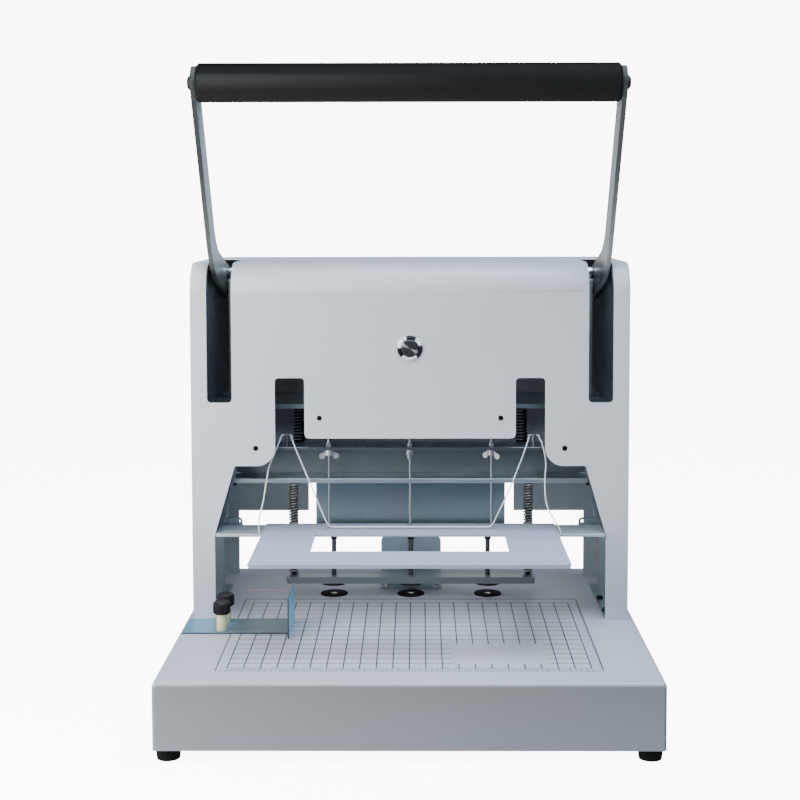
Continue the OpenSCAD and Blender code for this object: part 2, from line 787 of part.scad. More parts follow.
// Small dark screws in the front and rear covers and in the side frames' foot flanges
module cover_screws() {
    head_t = 1;
    shank_l = cover_t + 5;
    frame_head = [7, 2.4];
    frame_shank_l = frame_foot_t + base_t + 3;
    color("dimgray") {
        for (p = FRONT_SCREWS) translate([p[0], front_y, p[1]]) rotate([-90, 0, 0]) {
            translate([0, 0, -head_t]) cylinder(d1 = cover_head_d - 1, d2 = cover_head_d, h = head_t);
            cylinder(d = cover_screw_d, h = shank_l);
        }
        for (p = REAR_SCREWS) translate([p[0], back_y, p[1]]) rotate([90, 0, 0]) {
            translate([0, 0, -head_t]) cylinder(d1 = cover_head_d - 1, d2 = cover_head_d, h = head_t);
            cylinder(d = cover_screw_d, h = shank_l);
        }
        for (p = FRAME_SCREWS) translate([p[0], p[1], base_top + frame_foot_t]) {
            cylinder(d1 = frame_head[0], d2 = frame_head[0] - 1.5, h = frame_head[1]);
            translate([0, 0, -frame_shank_l]) cylinder(d = frame_screw_d, h = frame_shank_l + 1);
        }
    }
}

// Push button, turned about Z with its face down and then laid along Y
barrel_d = cap_d + 1.8;
bezel_t = 3;
barrel_l = 15;
stem_d = cap_d - 3;
cap_t = 3;
module at_button() {
    translate([0, front_y, base_top + button_h]) rotate([-90, 0, 0]) children();
}
// Domed ring round the cap, with the barrel that passes through the cover
module button_bezel() {
    lip = (bezel_d - cap_d) / 2 - free_fit;
    color("silver") at_button() difference() {
        union() {
            rotate_extrude() polygon([
                [0, 0], [bezel_d / 2, 0], [bezel_d / 2, -bezel_t / 3],
                [bezel_d / 2 - lip / 3, -bezel_t * 0.8], [bezel_d / 2 - lip * 0.6, -bezel_t], [0, -bezel_t]
            ]);
            cylinder(d = barrel_d, h = barrel_l);
        }
        translate([0, 0, -bezel_t - 1]) cylinder(d = cap_d + 2 * free_fit, h = bezel_t + cap_t + 1);
        translate([0, 0, -1]) cylinder(d = stem_d + 2 * run_fit, h = barrel_l + 2);
    }
}
// Cap that is pushed in by cap_travel
module button_cap() {
    proud = 0.8;
    face_z = -bezel_t - proud;
    color("silver") at_button() {
        rotate_extrude() polygon([
            [0, face_z], [cap_d / 2 - 1, face_z], [cap_d / 2, face_z + 1],
            [cap_d / 2, cap_t - cap_travel - free_fit], [0, cap_t - cap_travel - free_fit]
        ]);
        cylinder(d = stem_d, h = barrel_l - cap_travel - free_fit);
    }
}
// Hexagon nut behind the cover
module button_nut() {
    color("silver") at_button() translate([0, 0, cover_t]) difference() {
        cylinder(d = barrel_d + 9, h = 4, $fn = 6);
        translate([0, 0, -1]) cylinder(d = barrel_d + 2 * set_fit, h = 6);
    }
}
// Switch on the barrel's back end
module switch_body() {
    body_l = 14;
    tag = [0.8, 3, 6];
    tag_x = 4;
    color("dimgray") at_button() translate([0, 0, barrel_l]) {
        cylinder(d = barrel_d, h = body_l);
        for (s = SIDES) translate([s * tag_x - tag[0] / 2, -tag[1] / 2, body_l - 1]) cube(tag + [0, 0, 1]);
    }
}

// Deck plate across the frames: carries the guide bushes and the upper pins of the return springs
module guide_deck() {
    clear = 2;
    low = [yoke_in - clear, yoke_y - yoke_d / 2 - clear, deck_z - 1];
    high = [frame_in + 1, yoke_y + yoke_d / 2 + clear, deck_z + deck_t + 1];
    color("lightslategray") {
        difference() {
            block([-frame_in, deck_front, deck_z], [frame_in, deck_back, deck_z + deck_t]);
            for (s = SIDES) mirror([s < 0 ? 1 : 0, 0, 0]) {
                block(low, high);
                translate([guide_x, punch_y, deck_z - 1])
                    cylinder(d = guide_d + 2 * guide_wall + 2 * set_fit, h = deck_t + 2);
            }
        }
        for (s = SIDES) translate([s * return_x, return_y, deck_z - return_pin_l])
            cylinder(d = return_pin_d, h = return_pin_l + 1);
    }
}
// Flanged bushes in the deck, in which the guide posts run
module guide_bushings() {
    color("darkgoldenrod") for (s = SIDES) translate([s * guide_x, punch_y, deck_z]) difference() {
        union() {
            cylinder(d = guide_d + 2 * guide_wall, h = guide_bush_l);
            translate([0, 0, deck_t]) cylinder(d = guide_d + 4 * guide_wall, h = guide_flange);
        }
        translate([0, 0, -1]) cylinder(d = guide_d + 2 * run_fit, h = guide_bush_l + 2);
    }
}
// Line light for lining up the paper, hung in its block under the deck
module guide_light() {
    body_d = 10;
    body_l = 20;
    lens_d = 5;
    lens_deep = 2;
    block_t = 14;
    block_tall = 8;
    behind_ram = 2;
    beside_post = 10;
    x = beside_post - guide_x;
    y = carriage_back + behind_ram + block_t / 2;
    z = deck_z - block_tall + 2 - body_l;
    color("dimgray") {
        block([x - block_t / 2, y - block_t / 2, deck_z - block_tall],
            [x + block_t / 2, min(y + block_t / 2, deck_back), deck_z]);
        difference() {
            translate([x, y, z]) cylinder(d = body_d, h = body_l);
            translate([x, y, z - 1]) cylinder(d = lens_d, h = lens_deep + 1);
        }
    }
}

// Fixed shelf between the legs, with a rear flange and holes for the needles and the thread's ends
module shelf() {
    flange_z = shelf_top - shelf_flange;
    color("lightsteelblue") difference() {
        union() {
            block([-shelf_x, shelf_front, shelf_z], [shelf_x, shelf_back, shelf_top]);
            block([-shelf_x, shelf_back - shelf_t, flange_z], [shelf_x, shelf_back, shelf_z + 1]);
        }
        for (x = PUNCHES) translate([x, needle_y, shelf_z - 1])
            cylinder(d = needle_hole_d, h = shelf_t + 2);
        for (s = SIDES) translate([s * thread_end[0], thread_end[1], shelf_z - 1])
            cylinder(d = thread_d + 2 * free_fit, h = shelf_t + 2);
        for (p = RIVETS) translate([p[0], p[1], shelf_z - 1])
            cylinder(d = rivet_d + 2 * set_fit, h = shelf_t + 2);
    }
}
needle_hole_d = needle_d + 2.2;
// Brackets that carry the shelf's rear flange from the side frames: a leaning leg and a tab with two holes
module shelf_brackets() {
    tab_rise = 7;
    tab_reach = 10;
    tab_r = 4;
    lean = 6;
    hole_d = 3.4;
    low = shelf_top - shelf_flange;
    tab_top = shelf_top + tab_rise;
    hole_z = shelf_top + tab_rise / 2;
    inner = beam_w / 2 + beam_clear;
    color("darkgray") for (s = SIDES) mirror([s < 0 ? 1 : 0, 0, 0])
        along_y(shelf_back, shelf_back + bracket_t) difference() {
            union() {
                polygon([
                    [inner, beam_z], [frame_in, beam_z], [frame_in, low],
                    [inner + lean, low], [inner + lean, tab_top]
                ]);
                round_rect([inner - tab_reach, low], [inner + lean + tab_r, tab_top], tab_r);
            }
            for (x = [inner - tab_reach + tab_r, inner + lean]) translate([x, hole_z]) circle(d = hole_d);
        }
}
beam_clear = 3.5;
rivet_d = 4;
rivet_in = 14;
RIVETS = [for (s = SIDES, f = [0.3, 0.8]) [s * (tray_w / 2 - rivet_in), shelf_front + f * shelf_d]];
// Sheet tray on the shelf: two arms and a front bar round a window, the front edge folded down to a lip
module thread_tray() {
    window_front = tray_front + tray_bar;
    corner = 1;
    color("white") difference() {
        union() {
            translate([0, 0, shelf_top]) linear_extrude(tray_t) difference() {
                round_rect([-tray_w / 2, tray_front], [tray_w / 2, shelf_back], corner);
                translate([-window_w / 2, window_front]) square([window_w, window_d]);
            }
            block([corner - tray_w / 2, tray_front, tray_top - tray_lip],
                [tray_w / 2 - corner, tray_front + tray_t, tray_top]);
        }
        for (x = PUNCHES) translate([x, needle_y, shelf_top - 1])
            cylinder(d = needle_hole_d, h = tray_t + 2);
        for (p = RIVETS) translate([p[0], p[1], shelf_top - 1])
            cylinder(d = rivet_d + 2 * set_fit, h = tray_t + 2);
    }
}
// Flush rivets that hold the tray to the shelf
module tray_rivets() {
    color("white") for (p = RIVETS) translate([p[0], p[1], shelf_z])
        cylinder(d = rivet_d, h = shelf_t + tray_t);
}
// Binding thread, laid from the shelf over the pegs and past the needles
module thread() {
    color("white") translate(thread_at) tube(smooth(THREAD, THREAD_STEPS), thread_d, 8, [0, 1, 0]);
}

// Die discs that lie on the base round the punch holes, with a body through the base's top
insert_d = 7.4;
insert_sunk = 0.2;
module die_discs() {
    color("black") for (x = PUNCHES) translate([x, punch_y, base_top]) difference() {
        union() {
            cylinder(d = die_d, h = die_t);
            translate([0, 0, -die_body_l]) cylinder(d = die_body_d, h = die_body_l + die_t / 2);
        }
        translate([0, 0, -die_body_l - 1]) cylinder(d = insert_d + 2 * set_fit, h = die_body_l + die_t + 2);
    }
}
// Steel rings in the die discs, which the punches enter
module die_inserts() {
    color("silver") for (x = PUNCHES) translate([x, punch_y, base_top - die_body_l]) difference() {
        cylinder(d = insert_d, h = die_body_l + die_t - insert_sunk);
        translate([0, 0, -1]) cylinder(d = punch_d + 2 * free_fit, h = die_body_l + die_t + 2);
    }
}

// Shaft that joins the two lever arms and turns in the side frames
module pivot_shaft() {
    end = frame_out + shaft_overhang;
    color("silver") bar_x(shaft_d, -end, end, pivot_at);
}
// Flat bar of a lever arm in Y and Z: leg, bend and upper arm, with round ends
module arm_profile() {
    half = arm_w / 2;
    translate(pivot_at) circle(half);
    translate(handle_at) circle(half);
    polygon([
        pivot_at + half * leg_normal, bend_start + half * leg_normal,
        bend_start - half * leg_normal, pivot_at - half * leg_normal
    ]);
    polygon([
        bend_end + half * arm_normal, handle_at + half * arm_normal,
        handle_at - half * arm_normal, bend_end - half * arm_normal
    ]);
    intersection() {
        translate(bend_middle) difference() {
            circle(arm_bend_r + half, $fn = 180);
            circle(arm_bend_r - half, $fn = 180);
        }
        polygon([
            bend_middle, bend_start - arm_w * leg_normal,
            bend_middle - 1.5 * arm_bend_r * unit(leg_normal + arm_normal), bend_end - arm_w * arm_normal
        ]);
    }
}
// Lever arm with its hub on the shaft and holes for the push pin and the handle bolt
module lever_arm() {
    color("darkgray") difference() {
        union() {
            along_x(arm_in, arm_out) arm_profile();
            bar_x(lever_hub_d, arm_in - lever_hub_l, arm_in + 1, pivot_at);
        }
        bar_x(shaft_d + 2 * set_fit, arm_in - lever_hub_l - 1, arm_out + 1, pivot_at);
        bar_x(pin_shank_d + 2 * set_fit, arm_in - 1, arm_out + 1, push_pin_at);
        bar_x(bolt_d + 2 * set_fit, arm_in - 1, arm_out + 1, handle_at);
    }
}
module lever_arm_left() {
    mirror([1, 0, 0]) lever_arm();
}
module lever_arm_right() {
    lever_arm();
}
pin_shank_d = 7;
// Pins on the arms' inner faces that push the yokes down
module push_pins() {
    color("silver") for (s = SIDES) mirror([s < 0 ? 1 : 0, 0, 0]) {
        bar_x(push_pin_d, yoke_in + 1, arm_in, push_pin_at);
        bar_x(pin_shank_d, arm_in - 1, arm_out, push_pin_at);
    }
}
bolt_d = 8;
bolt_l = 22;
// Steel bar between the arms, inside the grip
module handle_bar() {
    color("silver") difference() {
        bar_x(bar_d, -arm_in, arm_in, handle_at);
        for (s = SIDES) mirror([s < 0 ? 1 : 0, 0, 0])
            bar_x(bolt_d + 2 * set_fit, arm_in - bolt_l - 2, arm_in + 1, handle_at);
    }
}
// Foam grip with rounded ends
module grip_foam() {
    length = 2 * (arm_in - seat_gap);
    edge = 2;
    color("black") translate([-length / 2, handle_at[0], handle_at[1]]) rotate([0, 90, 0]) rotate_extrude()
        difference() {
            union() {
                translate([0, edge]) square([grip_d / 2, length - 2 * edge]);
                square([grip_d / 2 - edge, length]);
                for (z = [edge, length - edge]) translate([grip_d / 2 - edge, z]) circle(edge);
            }
            translate([-grip_d, -1]) square([grip_d + bar_d / 2 + set_fit, length + 2]);
        }
}
// Bolts with domed heads that hold the handle bar
module handle_bolts() {
    head_d = 14;
    head_t = 4.2;
    color("dimgray") for (s = SIDES) mirror([s < 0 ? 1 : 0, 0, 0]) difference() {
        union() {
            bar_x(bolt_d, arm_out - arm_t - bolt_l, arm_out + 1, handle_at);
            translate([arm_out, handle_at[0], handle_at[1]]) rotate([0, 90, 0]) rotate_extrude() polygon([
                [0, 0], [head_d / 2, 0], [head_d / 2, head_t * 0.4], [head_d * 0.36, head_t * 0.85],
                [head_d * 0.25, head_t], [0, head_t]
            ]);
        }
        translate([arm_out + head_t / 2, handle_at[0], handle_at[1]]) rotate([0, 90, 0])
            cylinder(d = 5.5, h = head_t, $fn = 6);
    }
}

// Horizontal plate of the ram, with the lower pins of the return springs
module ram_carriage() {
    color("lightslategray") {
        difference() {
            block([-yoke_out, carriage_front, carriage_z], [yoke_out, carriage_back, carriage_top]);
            for (s = SIDES) {
                translate([s * guide_x, punch_y, carriage_z - 1])
                    cylinder(d = guide_d + 2 * set_fit, h = carriage_t + 2);
                translate([s * post_x, punch_y, carriage_z - 1])
                    cylinder(d = post_d + 2 * free_fit, h = carriage_t + 2);
            }
        }
        for (s = SIDES) translate([s * return_x, return_y, carriage_top - 1])
            cylinder(d = return_pin_d, h = return_pin_l + 1);
    }
}
// Upright plate behind the needle beam
module ram_plate() {
    corner = 4;
    color("lightsteelblue") along_y(beam_back, carriage_front)
        round_rect([-ram_plate_w / 2, base_top + ram_plate_h], [ram_plate_w / 2, beam_top - 2], corner);
}
// Bar under the carriage that holds the punches and guides the press posts
module tool_bar() {
    color("slategray") difference() {
        block([-tool_bar_w / 2, punch_y - tool_bar_d / 2, tool_bar_z],
            [tool_bar_w / 2, punch_y + tool_bar_d / 2, carriage_z]);
        for (x = PUNCHES) translate([x, punch_y, tool_bar_z - 1]) {
            cylinder(d = punch_d + 2 * set_fit, h = tool_bar_t + 2);
            translate([0, 0, tool_bar_t + 1 - punch_head_t])
                cylinder(d = punch_head_d + 2 * set_fit, h = punch_head_t + 1);
        }
        for (s = SIDES) translate([s * post_x, punch_y, tool_bar_z - 1])
            cylinder(d = post_d + 2 * run_fit, h = tool_bar_t + 2);
    }
}
// Posts on the carriage that run in the deck's bushes
module guide_posts() {
    chamfer = 1.5;
    color("silver") for (s = SIDES) translate([s * guide_x, punch_y, carriage_z]) {
        cylinder(d = guide_d, h = guide_l - chamfer);
        translate([0, 0, guide_l - chamfer]) cylinder(d1 = guide_d, d2 = guide_d - 2 * chamfer, h = chamfer);
    }
}
yoke_r = 2;
// Upright bars on the carriage's ends, under the lever's push pins
module push_yokes() {
    color("slategray") for (s = SIDES) mirror([s < 0 ? 1 : 0, 0, 0])
        along_x(yoke_in, yoke_out)
            round_rect([yoke_y - yoke_d / 2, carriage_top], [yoke_y + yoke_d / 2, yoke_top], yoke_r);
}
// Two springs that stretch between the deck and the carriage and lift the ram
module return_springs() {
    color("black") for (s = SIDES) translate([s * return_x, return_y, carriage_top + seat_gap])
        coil(return_r, return_wire, return_turns, deck_z - carriage_top - 2 * seat_gap);
}
punch_head_d = punch_d + 3;
punch_head_t = 4;
// Hollow punches with a head in the tool bar
module punches() {
    hollow = 60;
    z = base_top + punch_tip_h;
    color("silver") for (x = PUNCHES) translate([x, punch_y, 0]) difference() {
        union() {
            translate([0, 0, z]) cylinder(d = punch_d, h = carriage_z - z);
            translate([0, 0, carriage_z - punch_head_t]) cylinder(d = punch_head_d, h = punch_head_t);
        }
        translate([0, 0, z - 1]) cylinder(d = punch_bore, h = hollow + 1);
        translate([0, 0, z - 0.01]) cylinder(d1 = punch_d - 0.3, d2 = punch_bore, h = 2);
    }
}
// Sleeves round the upper part of the punches
module punch_sleeves() {
    z = base_top + sleeve_h;
    color("dimgray") for (x = PUNCHES) translate([x, punch_y, z]) difference() {
        cylinder(d = sleeve_d, h = tool_bar_z - z);
        translate([0, 0, -1]) cylinder(d = punch_d + 2 * set_fit, h = tool_bar_z - z + 2);
    }
}

// Channel that carries the threading needles, open to the front, with a lip
module needle_beam() {
    floor_top = beam_z + beam_lip;
    color("lightsteelblue") difference() {
        along_x(-beam_w / 2, beam_w / 2) {
            translate([beam_back - beam_t, floor_top - beam_t])
                square([beam_t, beam_top - floor_top + beam_t]);
            translate([beam_front, beam_top - beam_t]) square([beam_d, beam_t]);
            translate([beam_front, floor_top - beam_t]) square([beam_d, beam_t]);
            translate([beam_front, beam_z]) square([beam_t, beam_lip]);
        }
        for (x = PUNCHES) translate([x, needle_y, 0]) {
            translate([0, 0, beam_top - beam_t - 1])
                cylinder(d = needle_head_d + 2 * set_fit, h = beam_t + 2);
            translate([0, 0, beam_z - 1])
                cylinder(d = needle_d + 2 * set_fit, h = beam_lip + 2);
        }
        for (s = SIDES) translate([s * peg_x, needle_y, beam_top - beam_t - 1])
            cylinder(d = peg_d + 2 * set_fit, h = beam_t + 2);
    }
}
// Thin pointed needles with a threaded head
module thread_needles() {
    point = 7;
    tip_z = tray_top + 0.5;
    head_z = beam_top - beam_t - wing_hub_l - 1.5;
    head_top = beam_top + nut_t + 5;
    color("silver") for (x = PUNCHES) translate([x, needle_y, 0]) {
        translate([0, 0, tip_z]) cylinder(d1 = 0.8, d2 = needle_d, h = point);
        translate([0, 0, tip_z + point]) cylinder(d = needle_d, h = head_z - tip_z - point);
        translate([0, 0, head_z]) cylinder(d = needle_head_d, h = head_top - head_z);
    }
}
// Hexagon nuts on the beam
module needle_nuts() {
    color("silver") for (x = PUNCHES) translate([x, needle_y, beam_top]) difference() {
        cylinder(d = needle_head_d + 4, h = nut_t, $fn = 6);
        translate([0, 0, -1]) cylinder(d = needle_head_d + 2 * set_fit, h = nut_t + 2);
    }
}
// Upright pegs that hold the thread
module thread_pegs() {
    color("silver") for (s = SIDES) translate([s * peg_x, needle_y, beam_top - beam_t]) {
        cylinder(d = peg_d, h = beam_t + peg_l - 1);
        translate([0, 0, beam_t + peg_l - 1]) cylinder(d1 = peg_d, d2 = peg_d - 1.6, h = 1);
    }
}
// Wing nut under the beam's top flange, with its wings hanging down, turned by angle
module wing_nut(x, angle) {
    wing_t = 1.8;
    drop = 40;
    z = beam_top - beam_t - slide_gap;
    color("silver") translate([x, needle_y, z]) rotate([0, 0, angle]) difference() {
        union() {
            translate([0, 0, -wing_hub_l]) cylinder(d1 = wing_hub_d, d2 = wing_hub_d - 1, h = wing_hub_l);
            for (s = SIDES) mirror([s < 0 ? 1 : 0, 0, 0]) along_y(-wing_t / 2, wing_t / 2)
                translate([wing_hub_d / 2 - 1.4, -wing_hub_l / 2]) rotate(-drop) {
                    translate([0, -2]) square([wing_reach - wing_hub_d / 2, 4]);
                    translate([wing_reach - wing_hub_d / 2, 0]) circle(2.9);
                }
        }
        translate([0, 0, -3 * wing_hub_l]) cylinder(d = needle_head_d + 2 * run_fit, h = 4 * wing_hub_l);
    }
}
module wing_nut_left() {
    wing_nut(-punch_pitch, 10);
}
module wing_nut_centre() {
    wing_nut(0, 80);
}
module wing_nut_right() {
    wing_nut(punch_pitch, -35);
}

// Plate that clamps the paper round the punches
module press_plate() {
    edge = 3;
    color("slategray") difference() {
        translate([0, 0, press_z]) linear_extrude(press_t)
            round_rect([-press_w / 2, punch_y - press_d / 2], [press_w / 2, punch_y + press_d / 2], edge);
        for (x = PUNCHES) translate([x, punch_y, press_z - 1])
            cylinder(d = punch_d + 2 * free_fit, h = press_t + 2);
        for (s = SIDES) translate([s * post_x, punch_y, press_z - 1])
            cylinder(d = post_d + 2 * set_fit, h = press_t + 2);
    }
}
// Posts fixed in the press plate that slide through the tool bar
module press_posts() {
    color("silver") for (s = SIDES) translate([s * post_x, punch_y, press_z])
        cylinder(d = post_d, h = post_top - press_z + 1);
}
// Nuts on the posts' tops, which hang the press plate from the carriage
module press_nuts() {
    color("silver") for (s = SIDES) translate([s * post_x, punch_y, carriage_top + seat_gap]) difference() {
        cylinder(d = post_nut_d, h = post_nut_t, $fn = 6);
        translate([0, 0, -1]) cylinder(d = post_d + 2 * set_fit, h = post_nut_t + 2);
    }
}
// Springs round the posts that press the plate down
module press_springs() {
    color("black") for (s = SIDES) translate([s * post_x, punch_y, press_top + seat_gap])
        coil(press_r, press_wire, press_turns, tool_bar_z - press_top - 2 * seat_gap);
}
// Rubber pads under the press plate
module press_pads() {
    color("black") for (x = PUNCHES) translate([x, punch_y, press_z - pad_t]) difference() {
        cylinder(d = pad_d, h = pad_t);
        translate([0, 0, -1]) cylinder(d = punch_d + 2 * free_fit + 0.6, h = pad_t + 2);
    }
}

// Bent strip with an upright fence that lines up the paper's side
module side_fence() {
    strip_left = fence_set - base_w / 2;
    color("lightsteelblue") difference() {
        union() {
            block([strip_left, fence_back - strip_d, strip_z], [-fence_x, fence_back, strip_top]);
            block([-fence_x - fence_t, fence_back - fence_d, strip_z],
                [-fence_x, fence_back, base_top + fence_tall]);
        }
        for (y = FENCE_POSTS) translate([fence_post_x, y, strip_z - 1])
            cylinder(d = fence_stud_d + 2 * set_fit, h = fence_t + 2);
    }
}
// Plastic spacers between the strip and the knobs
module fence_posts() {
    color("beige") for (y = FENCE_POSTS) translate([fence_post_x, y, strip_top]) difference() {
        cylinder(d = fence_post_d, h = fence_post_tall);
        translate([0, 0, -1]) cylinder(d = fence_stud_d + 2 * set_fit, h = fence_post_tall + 2);
    }
}
// Studs through the strip and the base's slots, with a nut under the base's top sheet
module fence_studs() {
    nut_z = base_top - base_t - slide_gap - fence_nut_t;
    top = knob_z + knob_tall * 0.6;
    color("silver") for (y = FENCE_POSTS) translate([fence_post_x, y, 0]) {
        translate([0, 0, nut_z]) cylinder(d = fence_nut_d, h = fence_nut_t);
        translate([0, 0, nut_z]) cylinder(d = fence_stud_d, h = top - nut_z);
    }
}
// Black knurled thumb knob on a stud
module thumb_knob(y) {
    grooves = 16;
    groove_d = 1.6;
    edge = 1.4;
    color("black") translate([fence_post_x, y, knob_z]) difference() {
        rotate_extrude() polygon([
            [0, 0], [knob_d / 2 - edge, 0], [knob_d / 2, edge], [knob_d / 2, knob_tall - edge],
            [knob_d / 2 - edge, knob_tall], [0, knob_tall]
        ]);
        for (i = [0:grooves - 1]) rotate([0, 0, 360 * i / grooves]) translate([knob_d / 2 + 0.2, 0, -1])
            cylinder(d = groove_d, h = knob_tall + 2, $fn = 16);
        translate([0, 0, -1]) cylinder(d = fence_stud_d + 2 * run_fit, h = knob_tall * 0.6 + 1.5);
    }
}
module thumb_knob_front() {
    thumb_knob(FENCE_POSTS[0]);
}
module thumb_knob_rear() {
    thumb_knob(FENCE_POSTS[1]);
}

// Angle plate behind the punch line that stops the paper's edge
module back_stop() {
    z = base_top + slide_gap;
    back = stop_front + stop_d;
    color("lightsteelblue") difference() {
        union() {
            block([-stop_w / 2, stop_front, z], [stop_w / 2, back, z + stop_t]);
            along_y(back - stop_t, back)
                round_rect([-stop_w / 2, z], [stop_w / 2, base_top + stop_tall], 6);
            block([-stop_w / 2, back - stop_t, z], [stop_w / 2, back, z + 10]);
        }
        for (s = SIDES) translate([s * stop_hole_x, stop_hole_y, z - 1])
            cylinder(d = stop_screw_d + 2 * set_fit, h = stop_t + 2);
    }
}
// Screws of the back stop, with a nut under the base's top sheet
module back_stop_screws() {
    head_d = 8;
    head_t = 2.6;
    low = base_top - base_t - slide_gap - fence_nut_t;
    top = base_top + slide_gap + stop_t;
    color("silver") for (s = SIDES) translate([s * stop_hole_x, stop_hole_y, 0]) {
        translate([0, 0, top]) cylinder(d1 = head_d, d2 = head_d - 1.5, h = head_t);
        translate([0, 0, low]) cylinder(d = stop_screw_d, h = top - low + 1);
        translate([0, 0, low]) cylinder(d = head_d + 2, h = fence_nut_t);
    }
}

base_shell();
base_bottom_plate();
rubber_feet();
foot_screws();
left_side_frame();
right_side_frame();
left_side_panel();
right_side_panel();
front_cover();
rear_cover();
cover_screws();
button_bezel();
button_cap();
button_nut();
switch_body();
guide_deck();
guide_bushings();
shaft_bushings();
guide_light();
shelf();
shelf_brackets();
thread_tray();
tray_rivets();
thread();
die_discs();
die_inserts();
pivot_shaft();
lever_arm_left();
lever_arm_right();
push_pins();
handle_bar();
grip_foam();
handle_bolts();
ram_carriage();
ram_plate();
tool_bar();
guide_posts();
push_yokes();
return_springs();
punches();
punch_sleeves();
needle_beam();
thread_needles();
needle_nuts();
thread_pegs();
wing_nut_left();
wing_nut_centre();
wing_nut_right();
press_plate();
press_posts();
press_nuts();
press_springs();
press_pads();
side_fence();
fence_posts();
fence_studs();
thumb_knob_front();
thumb_knob_rear();
back_stop();
back_stop_screws();
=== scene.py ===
"""Looks of the three-hole binding machine: finishes, printed grid, wound springs, foam grip and thread."""
import json
import math

import bpy
import numpy as np
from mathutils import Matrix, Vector


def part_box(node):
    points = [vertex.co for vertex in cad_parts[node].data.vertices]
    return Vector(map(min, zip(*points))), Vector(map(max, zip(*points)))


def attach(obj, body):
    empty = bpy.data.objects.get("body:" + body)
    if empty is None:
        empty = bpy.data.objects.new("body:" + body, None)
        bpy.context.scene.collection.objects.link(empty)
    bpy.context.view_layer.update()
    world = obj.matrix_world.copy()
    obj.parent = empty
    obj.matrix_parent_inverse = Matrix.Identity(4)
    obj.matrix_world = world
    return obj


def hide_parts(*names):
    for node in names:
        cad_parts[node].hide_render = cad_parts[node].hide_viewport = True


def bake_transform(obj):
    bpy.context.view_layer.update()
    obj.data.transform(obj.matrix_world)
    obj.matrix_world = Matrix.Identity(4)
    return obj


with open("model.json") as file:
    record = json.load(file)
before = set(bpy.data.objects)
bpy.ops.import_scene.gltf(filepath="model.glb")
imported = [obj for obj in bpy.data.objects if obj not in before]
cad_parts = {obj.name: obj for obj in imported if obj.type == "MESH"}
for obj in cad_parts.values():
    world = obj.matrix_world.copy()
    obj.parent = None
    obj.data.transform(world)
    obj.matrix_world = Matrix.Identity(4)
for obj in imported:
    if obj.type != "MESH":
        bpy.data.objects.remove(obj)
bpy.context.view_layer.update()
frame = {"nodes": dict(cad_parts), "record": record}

NODES = frame["nodes"]
MM = 0.001
SCENE = bpy.context.scene


# Camera at the photograph's angle, for a square image

SENSOR = 36.0
LENS = 67.5
CAMERA_AT = Vector((0.009, -1.4506, 0.47625))
CAMERA_PITCH = math.radians(4.1)
CAMERA_ROLL = math.radians(0.09)
CAMERA_TURN = math.radians(0.357)
CAMERA_SHIFT = (-0.0121, -0.111)
CLIP = (0.05, 50.0)


def make_camera():
    data = bpy.data.cameras.new("camera")
    data.sensor_width = SENSOR
    data.lens = LENS
    data.shift_x, data.shift_y = CAMERA_SHIFT
    data.clip_start, data.clip_end = CLIP
    camera = bpy.data.objects.new("camera", data)
    camera.location = CAMERA_AT
    camera.rotation_euler = (math.pi / 2 - CAMERA_PITCH, CAMERA_ROLL, CAMERA_TURN)
    SCENE.collection.objects.link(camera)
    SCENE.camera = camera


# Material building

UP = (0.0, 0.0, 1.0)
DOWN = (0.0, 0.0, -1.0)
RIGHT = (1.0, 0.0, 0.0)
LEFT = (-1.0, 0.0, 0.0)
FORWARD = (0.0, -1.0, 0.0)
BACK = (0.0, 1.0, 0.0)


def new_material(name):
    """A material with one Principled shader; returns the material, its tree and the shader."""
    material = bpy.data.materials.new(name)
    material.use_nodes = True
    tree = material.node_tree
    tree.nodes.clear()
    output = tree.nodes.new("ShaderNodeOutputMaterial")
    shader = tree.nodes.new("ShaderNodeBsdfPrincipled")
    tree.links.new(shader.outputs["BSDF"], output.inputs["Surface"])
    return material, tree, shader


def add(tree, kind, settings=None, **inputs):
    """A node with its settings and sockets set; a socket given as an output is linked."""
    node = tree.nodes.new("ShaderNode" + kind)
    for key, value in (settings or {}).items():
        setattr(node, key, value)
    for key, value in inputs.items():
        socket = node.inputs[key.replace("_", " ")]
        if isinstance(value, bpy.types.NodeSocket):
            tree.links.new(value, socket)
        else:
            socket.default_value = value
    return node


def place(tree, stretch=(1.0, 1.0, 1.0)):
    """Object coordinates in metres, stretched along the axes."""
    coordinates = add(tree, "TexCoord").outputs["Object"]
    return add(tree, "Mapping", Vector=coordinates, Scale=stretch).outputs["Vector"]


def noise(tree, at, scale, detail=4.0, roughness=0.55):
    return add(tree, "TexNoise", Vector=at, Scale=scale, Detail=detail, Roughness=roughness).outputs["Fac"]


def remap(tree, value, low, high, start=0.3, end=0.7):
    """Value between start and end, spread from low to high."""
    node = add(tree, "MapRange", From_Min=start, From_Max=end, To_Min=low, To_Max=high)
    tree.links.new(value, node.inputs["Value"])
    return node.outputs["Result"]


def shade_of(colour, factor):
    return tuple(min(1.0, c * factor) for c in colour[:3]) + (1.0,)


def vary(tree, shader, value, colour, spread):
    """Base colour that moves about its middle by spread, following value."""
    ramp = add(tree, "ValToRGB", Fac=value)
    ramp.color_ramp.elements[0].position = 0.3
    ramp.color_ramp.elements[1].position = 0.7
    ramp.color_ramp.elements[0].color = shade_of(colour, 1.0 - spread)
    ramp.color_ramp.elements[1].color = shade_of(colour, 1.0 + spread)
    tree.links.new(ramp.outputs["Color"], shader.inputs["Base Color"])


def bump(tree, shader, height, strength, distance):
    node = add(tree, "Bump", Strength=strength, Distance=distance)
    tree.links.new(height, node.inputs["Height"])
    tree.links.new(node.outputs["Normal"], shader.inputs["Normal"])


